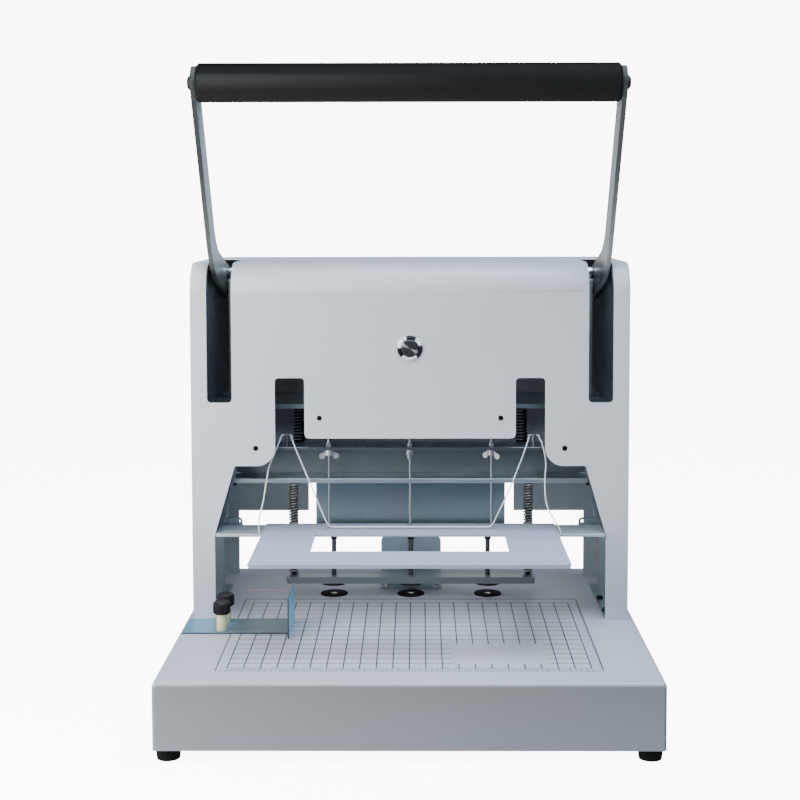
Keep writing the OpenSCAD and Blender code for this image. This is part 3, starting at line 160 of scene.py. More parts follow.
def turn_to(tree, shader, share, colour):
    """Base colour that turns to another one by share."""
    mix = add(tree, "MixRGB", Fac=share, Color2=colour + (1.0,))
    socket = shader.inputs["Base Color"]
    tree.links.new(socket.links[0].from_socket, mix.inputs["Color1"])
    tree.links.new(mix.outputs["Color"], socket)


def dot(tree, vector, axis):
    node = add(tree, "VectorMath", {"operation": "DOT_PRODUCT"})
    tree.links.new(vector, node.inputs[0])
    node.inputs[1].default_value = axis
    return node.outputs["Value"]


def looking(tree, axis, start=0.5, full=0.8):
    """Share that grows from 0 to 1 as a face turns to look along an axis."""
    faced = dot(tree, add(tree, "TexCoord").outputs["Normal"], axis)
    return remap(tree, faced, 0.0, 1.0, start, full)


def between(tree, axis, span, first=0.0, last=1.0):
    """Value that goes from first to last over a span of places along an axis, in metres."""
    place_along = dot(tree, add(tree, "TexCoord").outputs["Object"], axis)
    return remap(tree, place_along, first, last, *span)


def tint_facing(tree, shader, direction, colour, start=0.5, full=0.8):
    """Faces that look along a direction take another colour."""
    turn_to(tree, shader, looking(tree, direction, start, full), colour)


def calc(tree, operation, *values):
    node = add(tree, "Math", {"operation": operation})
    for socket, value in zip(node.inputs, values):
        if isinstance(value, bpy.types.NodeSocket):
            tree.links.new(value, socket)
        else:
            socket.default_value = value
    return node.outputs["Value"]


def powder_coat(name, colour, roughness=0.42, inward=None, inner_shade=None):
    """Baked paint: a faint cloudiness, a fine orange peel, uneven gloss; painted shade on faces that look
    into the casing.
    """
    material, tree, shader = new_material(name)
    at = place(tree)
    vary(tree, shader, noise(tree, at, 9.0), colour, 0.015)
    # Painted shade on faces that look into the casing
    if inward:
        tint_facing(tree, shader, inward, inner_shade, *INSIDE_TURN)
    tree.links.new(
        remap(tree, noise(tree, at, 60.0), roughness - 0.05, roughness + 0.05), shader.inputs["Roughness"])
    bump(tree, shader, noise(tree, at, 1500.0, 2.0), 0.12, 0.00012)
    shader.inputs["Specular IOR Level"].default_value = 0.45
    return material


def main_shader(material):
    return material.node_tree.nodes["Principled BSDF"]


def cover_coat(name, colour, inner_shade, painted_crown_shade, painted_foot_shade):
    """Paint of the bent cover, with painted shade on faces that look up, except at the left shoulder, and
    on its front toward its feet.
    """
    material = powder_coat(name, colour, inward=BACK, inner_shade=inner_shade)
    tree, shader = material.node_tree, main_shader(material)
    # Painted shade on faces that look up, kept light at the left shoulder, and on the front toward the feet
    upward = looking(tree, UP, *CROWN_TURN)
    shoulder = between(tree, RIGHT, SHOULDER, 0.15, 1.0)
    turn_to(tree, shader, calc(tree, "MULTIPLY", upward, shoulder), painted_crown_shade)
    low = between(tree, UP, FOOT_SHADE, 0.9, 0.0)
    turn_to(tree, shader, calc(tree, "MULTIPLY", looking(tree, FORWARD), low), painted_foot_shade)
    return material


def rear_coat(name, colour, inner_shade, painted_upper_shade):
    """Paint of the rear cover, with painted shade on its inner face, darker still behind the drive."""
    material = powder_coat(name, colour, inward=FORWARD, inner_shade=inner_shade)
    tree, shader = material.node_tree, main_shader(material)
    # Painted shade on the inner face, darker behind the drive
    inner = looking(tree, FORWARD, *INSIDE_TURN)
    turn_to(tree, shader, calc(tree, "MULTIPLY", inner, between(tree, UP, DRIVE_SHADE)), painted_upper_shade)
    return material


def base_coat(name, colour, front):
    """Paint of the base, with painted shade on its front face that grows upward."""
    material = powder_coat(name, colour)
    tree, shader = material.node_tree, main_shader(material)
    # Painted shade on the front face, growing upward
    high = between(tree, UP, BASE_SHADE, 0.10, 1.0)
    turn_to(tree, shader, calc(tree, "MULTIPLY", looking(tree, FORWARD), high), front)
    return material


def sheet_steel(name, colour, roughness=0.36, spangle=0.10, stretch=(1.0, 1.0, 1.0), grain=500.0):
    """Rolled sheet: crystal patches of zinc under a fine directional grain."""
    material, tree, shader = new_material(name)
    cells = add(tree, "TexVoronoi", Vector=place(tree), Scale=130.0).outputs["Color"]
    vary(tree, shader, cells, colour, spangle)
    streaks = noise(tree, place(tree, stretch), grain, 3.0)
    tree.links.new(remap(tree, streaks, roughness - 0.08, roughness + 0.10), shader.inputs["Roughness"])
    bump(tree, shader, streaks, 0.10, 0.00006)
    shader.inputs["Metallic"].default_value = 1.0
    return material


def satin_sheet(name, colour, roughness=0.34, metallic=1.0, spread=0.12, top=None, front=None):
    """Rolled sheet with soft bands along its length and a fine grain; faces that look up and to the front
    may take painted light and shade.
    """
    material, tree, shader = new_material(name)
    vary(tree, shader, noise(tree, place(tree, (0.15, 1.0, 1.0)), 55.0, 2.0), colour, spread)
    # Painted light and shade on faces that look up and to the front
    if top:
        tint_facing(tree, shader, UP, top)
    if front:
        tint_facing(tree, shader, FORWARD, front)
    streaks = noise(tree, place(tree, (1.0, 40.0, 40.0)), 40.0, 3.0)
    tree.links.new(remap(tree, streaks, roughness - 0.06, roughness + 0.08), shader.inputs["Roughness"])
    bump(tree, shader, streaks, 0.06, 0.00005)
    shader.inputs["Metallic"].default_value = metallic
    return material


def channel_sheet(name, node, colour, painted_low_light, painted_ledge_light, painted_lip_highlight):
    """Channel open to the front, with painted light and shade: a web that grows lighter downward, painted
    light on faces that look up and a painted highlight along the lower front edge.
    """
    material = satin_sheet(name, colour)
    tree, shader = material.node_tree, main_shader(material)
    low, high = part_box(node)
    web = (low.z, high.z - CHANNEL_TOP)
    # Painted light and shade: a web lighter downward, painted light on faces that look up, a painted
    # highlight along the lower front edge
    turn_to(tree, shader, between(tree, UP, web, 1.0, 0.0), painted_low_light)
    tint_facing(tree, shader, UP, painted_ledge_light)
    foremost = between(tree, FORWARD, tuple(-low.y - depth for depth in LIP_DEPTH))
    lowest = between(tree, UP, tuple(low.z + height for height in LIP_HEIGHT), 1.0, 0.0)
    forward = calc(tree, "MULTIPLY", looking(tree, FORWARD), foremost)
    turn_to(tree, shader, calc(tree, "MULTIPLY", forward, lowest), painted_lip_highlight)
    return material


def hung_sheet(name, colour, painted_low_light, span):
    """Plain sheet hung upright, with painted shade that leaves it lighter toward its lower end."""
    material = satin_sheet(name, colour)
    tree, shader = material.node_tree, main_shader(material)
    # Painted shade, lighter toward the lower end
    turn_to(tree, shader, between(tree, UP, span, 1.0, 0.0), painted_low_light)
    return material


def flat_bar(name, edge, painted_right_cheek, painted_left_cheek):
    """Ground flat bar with cut edges and satin cheeks; the right and left cheeks carry painted light and
    shade.
    """
    material = sheet_steel(name, edge, roughness=0.40, spangle=0.03, stretch=(60.0, 1.0, 1.0), grain=120.0)
    tree, shader = material.node_tree, main_shader(material)
    # Painted light and shade on the right and left cheeks
    tint_facing(tree, shader, RIGHT, painted_right_cheek)
    tint_facing(tree, shader, LEFT, painted_left_cheek)
    shader.inputs["Metallic"].default_value = BAR_METAL
    return material


def lever_bar(name, edge, painted_high_edge, inner, painted_inner_cheek, painted_high_cheek):
    """Flat bar of a lever arm: painted light and shade that change upward and on its inward face, a darker
    end with less gloss, and painted shade on the inward face within the casing.
    """
    material = flat_bar(name, edge, OUTER_CHEEK_SHADE, OUTER_CHEEK_SHADE)
    tree, shader = material.node_tree, main_shader(material)
    # Painted light and shade that change upward and on the inward face
    high = between(tree, UP, ARM_FADE)
    inward = looking(tree, inner)
    turn_to(tree, shader, high, painted_high_edge)
    turn_to(tree, shader, inward, painted_inner_cheek)
    turn_to(tree, shader, calc(tree, "MULTIPLY", inward, high), painted_high_cheek)
    turn_to(tree, shader, between(tree, UP, ARM_END), END_STEEL)
    tree.links.new(between(tree, UP, ARM_END, BAR_METAL, 0.0), shader.inputs["Metallic"])
    tree.links.new(between(tree, UP, ARM_END, BAR_GLOSS, END_GLOSS), shader.inputs["Specular IOR Level"])
    # Painted shade on the inward face where the arm runs within the casing
    casing_shade_share = between(tree, UP, ARM_CASING_SHADE, 1.0, 0.0)
    turn_to(tree, shader, calc(tree, "MULTIPLY", inward, casing_shade_share), CASING_SHADE_COLOUR)
    return material


def stained_sheet(name, colour, painted_far_reflection, painted_side_light, span):
    """Bare sheet, half dull, with painted light and shade: a painted reflection that darkens along X on
    faces that look up, painted light on faces that look right and painted shade on the cut edges in front.
    """
    material = satin_sheet(name, colour, roughness=0.38, metallic=0.45, spread=0.05, front=FRONT_EDGE_SHADE)
    tree, shader = material.node_tree, main_shader(material)
    # Painted reflection that darkens along X, and painted light on the faces that look right
    share = calc(tree, "MULTIPLY", between(tree, RIGHT, span), looking(tree, UP))
    turn_to(tree, shader, share, painted_far_reflection)
    tint_facing(tree, shader, RIGHT, painted_side_light)
    return material


def angle_about(tree, node):
    """Angle about a node's own axis along Y, from minus to plus pi."""
    low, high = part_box(node)
    at = add(tree, "TexCoord").outputs["Object"]
    x = calc(tree, "SUBTRACT", dot(tree, at, RIGHT), (low.x + high.x) / 2)
    z = calc(tree, "SUBTRACT", dot(tree, at, UP), (low.z + high.z) / 2)
    return calc(tree, "ARCTAN2", z, x)


def chromed_ring(name, node, arcs):
    """Polished ring whose bright and dark arcs are a painted reflection, drawn as colour by share of a turn
    and grey.
    """
    material, tree, shader = new_material(name)
    share = calc(tree, "DIVIDE", calc(tree, "ADD", angle_about(tree, node), math.pi), 2 * math.pi)
    # Painted reflection in bright and dark arcs
    ramp = add(tree, "ValToRGB", Fac=share)
    stops = ramp.color_ramp.elements
    while len(stops) < len(arcs):
        stops.new(0.5)
    for stop, (start, grey) in zip(stops, arcs):
        stop.position = start
        stop.color = (grey, grey, grey * 1.02, 1.0)
    tree.links.new(ramp.outputs["Color"], shader.inputs["Base Color"])
    shader.inputs["Specular IOR Level"].default_value = 0.1
    tree.links.new(remap(tree, noise(tree, place(tree), 400.0), 0.22, 0.30), shader.inputs["Roughness"])
    return material


def fan_turned(name, colour, glint, node):
    """Turned cap with two opposite painted highlights: bright fans about its axis, drawn as colour."""
    material, tree, shader = new_material(name)
    vary(tree, shader, noise(tree, place(tree), 260.0), colour, 0.10)
    # Painted highlights in two opposite fans
    turn = calc(tree, "ADD", angle_about(tree, node), FAN_TURN)
    fan = calc(tree, "COSINE", calc(tree, "MULTIPLY", turn, 2.0))
    turn_to(tree, shader, remap(tree, fan, 0.0, 1.0, 0.80, 1.0), glint)
    shader.inputs["Metallic"].default_value = 0.6
    shader.inputs["Roughness"].default_value = 0.34
    return material


def plated(name, colour, roughness=0.26, spread=0.05, ridge=0.05):
    """Turned and plated small steel: fine turning marks round the Z axis."""
    material, tree, shader = new_material(name)
    turning = noise(tree, place(tree, TURNING), 1.0, 2.0)
    vary(tree, shader, noise(tree, place(tree), 220.0), colour, spread)
    tree.links.new(remap(tree, turning, roughness - 0.06, roughness + 0.08), shader.inputs["Roughness"])
    bump(tree, shader, turning, ridge, 0.00004)
    shader.inputs["Metallic"].default_value = 1.0
    return material


def cast_zinc(name, colour):
    """Die-cast zinc: a dull bright skin with a fine cloudiness."""
    material, tree, shader = new_material(name)
    at = place(tree)
    vary(tree, shader, noise(tree, at, 500.0), colour, 0.12)
    tree.links.new(remap(tree, noise(tree, at, 900.0), 0.30, 0.42), shader.inputs["Roughness"])
    shader.inputs["Metallic"].default_value = 0.45
    return material


def blackened(name, colour, roughness=0.38):
    """Oil-blackened steel with rubbed patches."""
    material, tree, shader = new_material(name)
    at = place(tree)
    vary(tree, shader, noise(tree, at, 350.0), colour, 0.45)
    tree.links.new(
        remap(tree, noise(tree, at, 900.0), roughness - 0.08, roughness + 0.12), shader.inputs["Roughness"])
    shader.inputs["Metallic"].default_value = 0.75
    return material


def moulded(name, colour, roughness=0.48, spread=0.06, grain=1800.0, depth=0.12, subsurface=0.0, gloss=0.5):
    """Moulded plastic or rubber: a fine eroded grain and a little unevenness of colour."""
    material, tree, shader = new_material(name)
    at = place(tree)
    vary(tree, shader, noise(tree, at, 40.0), colour, spread)
    tree.links.new(
        remap(tree, noise(tree, at, 300.0), roughness - 0.07, roughness + 0.07), shader.inputs["Roughness"])
    bump(tree, shader, noise(tree, at, grain, 2.0), depth, 0.0001)
    shader.inputs["Specular IOR Level"].default_value = gloss
    shader.inputs["Subsurface Weight"].default_value = subsurface
    shader.inputs["Subsurface Radius"].default_value = (0.002, 0.0018, 0.0014)
    return material


def foam(name, colour):
    """Closed-cell foam: fine pores, painted shade above, painted light below, and a painted highlight on
    the front that fades to the right.
    """
    material, tree, shader = new_material(name)
    at = place(tree)
    pores = add(tree, "TexVoronoi", Vector=at, Scale=1300.0).outputs["Distance"]
    vary(tree, shader, noise(tree, at, 60.0), colour, 0.10)
    # Painted shade above, painted light below and a painted highlight on the front
    tint_facing(tree, shader, UP, FOAM_TOP_SHADE, 0.0, 0.8)
    tint_facing(tree, shader, DOWN, shade_of(colour, FOAM_UNDER_LIGHT)[:3], 0.0, 0.9)
    fade = between(tree, RIGHT, GRIP_HIGHLIGHT_SPAN, 1.0, 0.0)
    painted_highlight = calc(tree, "MULTIPLY", looking(tree, FORWARD, *HIGHLIGHT_TURN), fade)
    turn_to(tree, shader, painted_highlight, shade_of(colour, FOAM_HIGHLIGHT)[:3])
    tree.links.new(remap(tree, noise(tree, at, 40.0), 0.56, 0.64), shader.inputs["Roughness"])
    bump(tree, shader, pores, 0.10, 0.0001)
    shader.inputs["Specular IOR Level"].default_value = 0.035
    return material


def spun(name, colour):
    """Twisted yarn: fibre streaks and a soft sheen."""
    material, tree, shader = new_material(name)
    at = place(tree)
    vary(tree, shader, noise(tree, at, 1200.0), colour, 0.06)
    tree.links.new(remap(tree, noise(tree, at, 700.0), 0.7, 0.9), shader.inputs["Roughness"])
    bump(tree, shader, noise(tree, at, 3000.0, 2.0), 0.2, 0.00008)
    shader.inputs["Sheen Weight"].default_value = 0.2
    return material


def ink(name, colour, spread=0.15, glow=0.0):
    """Screen-printed ink with a slightly broken film, or a line of light with a glow."""
    material, tree, shader = new_material(name)
    at = place(tree)
    vary(tree, shader, noise(tree, at, 260.0), colour, spread)
    tree.links.new(remap(tree, noise(tree, at, 150.0), 0.45, 0.6), shader.inputs["Roughness"])
    shader.inputs["Emission Color"].default_value = colour + (1.0,)
    shader.inputs["Emission Strength"].default_value = glow
    return material


# Where finishes and painted light and shade change: turns of a face toward a direction, and spans in metres
# from the origin

INSIDE_TURN = (0.55, 0.75)
CROWN_TURN = (0.05, 0.85)
HIGHLIGHT_TURN = (0.90, 0.99)
SHOULDER = (-0.205, -0.185)
FOOT_SHADE = (0.085, 0.18)
DRIVE_SHADE = (0.222, 0.238)
BASE_SHADE = (0.015, 0.065)
RAM_SHADE = (0.165, 0.190)
STRIP_SHADE = (-0.188, -0.162)
ARM_CASING_SHADE = (0.402, 0.420)
ARM_FADE = (0.43, 0.51)
ARM_END = (0.576, 0.582)
GRIP_HIGHLIGHT_SPAN = (-0.17, 0.06)

# Bands of painted light and shade on the needle beam, from its own edges

CHANNEL_TOP = 8 * MM
LIP_DEPTH = (3 * MM, 2 * MM)
LIP_HEIGHT = (8 * MM, 10 * MM)

# Other values and colours of the finishes, and of the painted light and shade

FAN_TURN = math.radians(28.0)
TURNING = (40.0, 40.0, 4000.0)
BAR_METAL = 0.35
BAR_GLOSS = 0.5
END_GLOSS = 0.02
# Painted reflection on the button's ring: share of a turn where each arc starts, and its grey
RING_REFLECTIONS = (
    (0.0, 0.01), (0.12, 0.01), (0.14, 0.95), (0.35, 0.95), (0.37, 0.02), (0.53, 0.02), (0.56, 0.98),
    (0.65, 0.98), (0.67, 0.015), (0.80, 0.015), (0.81, 0.95), (0.84, 0.95), (0.85, 0.02), (0.875, 0.98),
    (0.985, 0.98), (1.0, 0.01),
)
END_STEEL = (0.055, 0.056, 0.056)
# Painted shade of the arms within the casing and on their outer cheeks, and painted shade on the fence
# sheet's front edges
CASING_SHADE_COLOUR = (0.06, 0.067, 0.067)
OUTER_CHEEK_SHADE = (0.15, 0.165, 0.16)
FRONT_EDGE_SHADE = (0.06, 0.07, 0.08)
# Painted shade on the top of the foam
FOAM_TOP_SHADE = (0.0012, 0.0008, 0.0006)
# Painted light of the foam below and its painted highlight, as factors of its own colour
FOAM_UNDER_LIGHT = 2.4
FOAM_HIGHLIGHT = 2.6
# Painted shade on faces within the casing, and on the rear cover's inner face
SHADED = (0.24, 0.26, 0.28)
REAR_INSIDE_SHADE = (0.38, 0.42, 0.45)
COVER = (0.66, 0.67, 0.69)


def make_materials():
    """Every finish by the name of the record's material slot, and by node where a node has its own."""
    return {
        # Painted shade on the base's front face
        "base_paint": base_coat("base_paint", (0.40, 0.41, 0.452), front=(0.330, 0.334, 0.338)),
        "cover_paint": powder_coat("cover_paint", COVER),
        # Painted shade on the front cover's top, toward its feet and on its inner faces
        "front_cover": cover_coat(
            "front_cover", COVER, SHADED, painted_crown_shade=(0.38, 0.38, 0.395), painted_foot_shade=(0.44, 0.465, 0.53)),
        # Painted shade on the rear cover's inner face, darker behind the drive
        "rear_cover": rear_coat("rear_cover", COVER, REAR_INSIDE_SHADE, painted_upper_shade=(0.18, 0.19, 0.21)),
        # Painted shade on the side panels' inner faces
        "left_side_panel": powder_coat("left_side_panel", COVER, inward=RIGHT, inner_shade=SHADED),
        "right_side_panel": powder_coat("right_side_panel", COVER, inward=LEFT, inner_shade=SHADED),
        "galvanised_steel": sheet_steel("galvanised_steel", (0.37, 0.435, 0.47), spangle=0.03),
        # Painted light and shade in bands on the needle beam and on the ram plate
        "needle_beam": channel_sheet(
            "needle_beam", "needle_beam", (0.17, 0.185, 0.20), painted_low_light=(0.30, 0.33, 0.35),
            painted_ledge_light=(0.68, 0.75, 0.78), painted_lip_highlight=(0.50, 0.545, 0.56)),
        "ram_plate": hung_sheet("ram_plate", (0.19, 0.235, 0.255), (0.32, 0.39, 0.40), RAM_SHADE),
        # Painted light on the shelf's front faces; painted shade on the press plate's top and front faces
        "shelf": satin_sheet(
            "shelf", (0.42, 0.455, 0.475), roughness=0.45, metallic=0.35, front=(0.52, 0.56, 0.59)),
        "press_plate": satin_sheet(
            "press_plate", (0.33, 0.36, 0.36), metallic=0.8, spread=0.06,
            top=(0.22, 0.235, 0.24), front=(0.21, 0.23, 0.23)),
        # Painted reflection, light and shade on the fence's stainless sheet
        "stainless_sheet": stained_sheet(
            "stainless_sheet", (0.175, 0.33, 0.45), painted_far_reflection=(0.11, 0.14, 0.16),
            painted_side_light=(0.20, 0.54, 0.82), span=STRIP_SHADE),
        # Lit and shaded copies of one steel: painted light and shade on the levers' cheeks and edges
        "lever_steel": flat_bar("lever_steel", (0.21, 0.225, 0.22), (0.40, 0.41, 0.41), OUTER_CHEEK_SHADE),
        "lever_arm_left": lever_bar(
            "lever_arm_left", (0.21, 0.22, 0.205), (0.08, 0.088, 0.085), RIGHT,
            painted_inner_cheek=(0.62, 0.63, 0.63), painted_high_cheek=(0.68, 0.71, 0.70)),
        "lever_arm_right": lever_bar(
            "lever_arm_right", (0.46, 0.46, 0.45), (0.14, 0.15, 0.145), LEFT,
            painted_inner_cheek=(0.50, 0.50, 0.49), painted_high_cheek=(0.42, 0.45, 0.435)),
        # Painted highlights on the button's cap and a painted reflection on its ring
        "button_cap": fan_turned("button_cap", (0.050, 0.050, 0.051), (0.48, 0.48, 0.49), "button_cap"),
        "button_bezel": chromed_ring("button_bezel", "button_bezel", RING_REFLECTIONS),
        "die_discs": moulded("die_discs", (0.006, 0.006, 0.006), roughness=0.7, spread=0.2, gloss=0.1),
        "cover_screws": plated("cover_screws", (0.012, 0.012, 0.013), roughness=0.6),
        "thread_pegs": plated("thread_pegs", (0.20, 0.21, 0.22), roughness=0.36),
        "bright_steel": plated("bright_steel", (0.42, 0.43, 0.44), roughness=0.24),
        "zinc_steel": plated("zinc_steel", (0.45, 0.46, 0.47), roughness=0.30),
        "thread_needles": plated("thread_needles", (0.37, 0.38, 0.39), roughness=0.40, ridge=0.01),
        # Lit and shaded copies of one zinc: painted light makes the wing nuts lighter toward the left
        "wing_nut_left": cast_zinc("wing_nut_left", (0.52, 0.525, 0.53)),
        "wing_nut_centre": cast_zinc("wing_nut_centre", (0.38, 0.385, 0.39)),
        "wing_nut_right": cast_zinc("wing_nut_right", (0.30, 0.305, 0.31)),
        "punches": plated("punches", (0.15, 0.15, 0.145), roughness=0.34),
        # The press posts are darkened as painted shade behind the springs
        "press_posts": plated("press_posts", (0.06, 0.06, 0.06), roughness=0.4),
        "return_springs": blackened("return_springs", (0.012, 0.012, 0.013)),
        "black_steel": blackened("black_steel", (0.035, 0.035, 0.037)),
        "spring_wire": blackened("spring_wire", (0.26, 0.26, 0.25), roughness=0.34),
        # The bronze is darkened as painted shade of the casing round it
        "bronze": plated("bronze", (0.16, 0.12, 0.07), roughness=0.42, spread=0.12),
        "black_rubber": moulded(
            "black_rubber", (0.008, 0.008, 0.008), roughness=0.62, spread=0.2, gloss=0.25),
        "black_foam": foam("black_foam", (0.0125, 0.012, 0.0115)),
        "black_plastic": moulded(
            "black_plastic", (0.008, 0.008, 0.009), roughness=0.46, spread=0.15, gloss=0.2),
        "cream_plastic": moulded(
            "cream_plastic", (0.60, 0.57, 0.36), roughness=0.38, spread=0.03, grain=900.0, depth=0.05,
            subsurface=0.15),
        "tray_plastic": moulded(
            "tray_plastic", (0.40, 0.42, 0.515), roughness=0.36, spread=0.012, grain=1200.0, depth=0.04),
        "white_thread": spun("white_thread", (0.86, 0.86, 0.85)),
        "grid_ink": ink("grid_ink", (0.014, 0.016, 0.030)),
        # The red guide line glows: painted light of the guide lamp on the base
        "red_guide_light": ink("red_guide_light", (0.85, 0.36, 0.40), spread=0.2, glow=0.16),
    }


# Pieces on the CAD frame

EDGE_ANGLE = math.radians(35.0)
FLAT_ANGLE = math.radians(0.3)
PIERCED_SHEETS = ("rear_cover", "base_shell")
WELD_REACH = 0.002 * MM
EDGE_SEGMENTS = 2
DEFAULT_EDGE = 0.25 * MM
EDGES = {
    "front_cover": 0.45 * MM, "rear_cover": 0.45 * MM, "base_shell": 0.8 * MM, "thread_tray": 0.4 * MM,
    "lever_arm_left": 0.6 * MM, "lever_arm_right": 0.6 * MM, "needle_beam": 0.6 * MM, "shelf": 0.6 * MM,
    "press_plate": 2.2 * MM, "side_fence": 0.3 * MM, "back_stop": 0.4 * MM, "ram_plate": 0.4 * MM,
}


def dress_nodes(materials):
    """Each CAD node gets its slot's finish and edges that catch the light."""
    slots = {part["node"]: part["material_slot"] for part in frame["record"]["subparts"]}
    for name, obj in NODES.items():
        obj.data.materials.clear()
        obj.data.materials.append(materials.get(name) or materials[slots[name]])
        weld = obj.modifiers.new("weld", "WELD")
        weld.merge_threshold = WELD_REACH
        if name in PIERCED_SHEETS:
            flat = obj.modifiers.new("flat", "DECIMATE")
            flat.decimate_type = "DISSOLVE"
            flat.angle_limit = FLAT_ANGLE
        edge = obj.modifiers.new("edge", "BEVEL")
        edge.width = EDGES.get(name, DEFAULT_EDGE)
        edge.segments = EDGE_SEGMENTS
        edge.limit_method = "ANGLE"
        edge.angle_limit = EDGE_ANGLE
        edge.use_clamp_overlap = True
        edge.harden_normals = True


def new_piece(name, points, faces, material):
    mesh = bpy.data.meshes.new(name)
    mesh.from_pydata([tuple(p) for p in points], [], faces)
    mesh.validate()
    mesh.materials.append(material)
    mesh.shade_smooth()
    mesh.set_sharp_from_angle(angle=EDGE_ANGLE)
    obj = bpy.data.objects.new(name, mesh)
    SCENE.collection.objects.link(obj)
    return obj


# A direction that no path of the machine starts along
SKEW = (0.3, 0.5, 0.8)


def side_vectors(path):
    """Tangents of a path and vectors square to them that twist as little as possible."""
    tangents = np.gradient(path, axis=0)
    tangents /= np.linalg.norm(tangents, axis=1)[:, None]
    side = np.cross(tangents[0], SKEW)
    sides = []
    for t in tangents:
        side = side - np.dot(side, t) * t
        side = side / np.linalg.norm(side)
        sides.append(side)
    return tangents, np.array(sides)


def tube(path, radius, sides, lobes=0, lobe_depth=0.0, lay=1.0, offset=0):
    """Points and faces of a closed tube; lobes twist round it once in each lay of its length."""
    path = np.array(path, float)
    tangents, across = side_vectors(path)
    steps = np.linalg.norm(np.diff(path, axis=0), axis=1)
    run = np.concatenate([[0.0], np.cumsum(steps)])
    up = np.cross(tangents, across)
    angles = np.arange(sides) * 2 * math.pi / sides
    points = []
    for i, p in enumerate(path):
        twist = 2 * math.pi * run[i] / lay
        reach = radius * (1 - lobe_depth + lobe_depth * np.abs(np.cos(lobes * (angles - twist) / 2)))
        ring = p + reach[:, None] * (np.cos(angles)[:, None] * across[i] + np.sin(angles)[:, None] * up[i])
        points.extend(ring)
    rings = len(path)
    faces = [
        (offset + i * sides + k, offset + i * sides + (k + 1) % sides,
         offset + (i + 1) * sides + (k + 1) % sides, offset + (i + 1) * sides + k)
        for i in range(rings - 1) for k in range(sides)
    ]
    faces.append(tuple(offset + k for k in reversed(range(sides))))
    faces.append(tuple(offset + (rings - 1) * sides + k for k in range(sides)))
    return points, faces


# Springs

RINGS_PER_TURN = 26
WIRE_SIDES = 10
# The press wire is 0.4 mm thicker than the source's, to show in front of the bright stage
PRESS_WIRE = 1.9 * MM
PRESS_TURNS = 35
RETURN_WIRE = 1.8 * MM
RETURN_TURNS = 14


def coil_path(centre, radius, wire, turns, low, high):
    """A helix with straight upright ends one wire thick."""
    count = turns * RINGS_PER_TURN
    share = np.arange(count + 1) / count
    angle = 2 * math.pi * turns * share
    helix = np.stack([
        centre[0] + radius * np.cos(angle),
        centre[1] + radius * np.sin(angle),
        low + wire + (high - low - 2 * wire) * share,
    ], axis=1)
    first = (centre[0] + radius, centre[1], low)
    last = (centre[0] + radius, centre[1], high)
    return np.vstack([first, helix, last])


def wound_springs(node, wire, turns, material):
    """The two springs of a node, wound in full, in its place."""
    low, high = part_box(node)
    outer = high.y - low.y
    radius = (outer - wire) / 2
    points, faces = [], []
    for x in (low.x + outer / 2, high.x - outer / 2):
        path = coil_path((x, (low.y + high.y) / 2), radius, wire, turns, low.z, high.z)
        more_points, more_faces = tube(path, wire / 2, WIRE_SIDES, offset=len(points))
        points.extend(more_points)
        faces.extend(more_faces)
    piece = new_piece(node + "_wound", points, faces, material)
    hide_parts(node)
    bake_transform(piece)


# Thread

THREAD_DIAMETER = 1.4 * MM
THREAD_STEPS = 24
THREAD_SIDES = 12
THREAD_PLIES = 3
PLY_DEPTH = 0.22
THREAD_LAY = 5.5 * MM
THREAD_AT = (0.0, -8.0, 70.0)
THREAD_ROUTE = [
    (-147, 1, 83), (-147.8, 1, 91), (-147, 2, 102), (-143.2, 4, 118), (-138.5, 8, 147), (-133, 10, 162),
    (-128.8, 13, 172.5), (-127, 15, 176.5), (-126.4, 19.7, 178.8), (-124.9, 22.6, 179), (-121.5, 23.9, 179),
    (-118.1, 22.6, 179), (-116.6, 19.7, 178.8), (-116, 15, 176.5), (-109.5, 11, 161), (-95.8, 10, 128),
    (-85, 11, 101), (-79.5, 13, 90.6), (-72, 14, 89.2), (-55, 14, 89.2), (0, 14, 89.2), (55, 14, 89.2),
    (72, 14, 89.2), (79.5, 13, 90.6), (85, 11, 101), (97.5, 10, 128), (110.5, 11, 161), (116, 15, 176.5),
    (116.6, 19.7, 178.8), (118.1, 22.6, 179), (121.5, 23.9, 179), (124.9, 22.6, 179), (126.4, 19.7, 178.8),
    (127, 15, 176.5), (129.5, 12, 171), (132.6, 9.5, 154), (131.5, 7, 132), (134, 4, 111), (145, 1, 91),
    (147, 1, 83),
]


def smooth_route(route, steps):
    """A smooth curve through the route's points."""
    route = np.array(route, float)
    last = len(route) - 1
    curve = []
    for i in range(last):
        a, b, c, d = (route[max(i - 1, 0)], route[i], route[i + 1], route[min(i + 2, last)])
        for t in np.arange(steps) / steps:
            curve.append(0.5 * (
                2 * b + (c - a) * t + (2 * a - 5 * b + 4 * c - d) * t**2 + (3 * b - a - 3 * c + d) * t**3))
    curve.append(route[last])
    return np.array(curve)


def make_thread(material):
    path = (smooth_route(THREAD_ROUTE, THREAD_STEPS) + THREAD_AT) * MM
    points, faces = tube(path, THREAD_DIAMETER / 2, THREAD_SIDES, THREAD_PLIES, PLY_DEPTH, THREAD_LAY)
    piece = new_piece("binding_thread", points, faces, material)
    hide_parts("thread")
    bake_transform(piece)


# Grip

GRIP_RINGS = 220
GRIP_SIDES = 48
GRIP_EDGE = 2.0 * MM
GRIP_WAVE = 0.03 * MM
# Ripples of the foam's skin: share, radians in each metre, start
GRIP_RIPPLES = ((1.0, 95.0, 0.0), (0.6, 231.0, 1.3))


def grip_wave(run):
    """How far the skin stands off the plain tube, at a distance from its end."""
    ripple = sum(share * math.sin(run * rate + start) for share, rate, start in GRIP_RIPPLES)
    return GRIP_WAVE * (ripple - 1.0) / 2


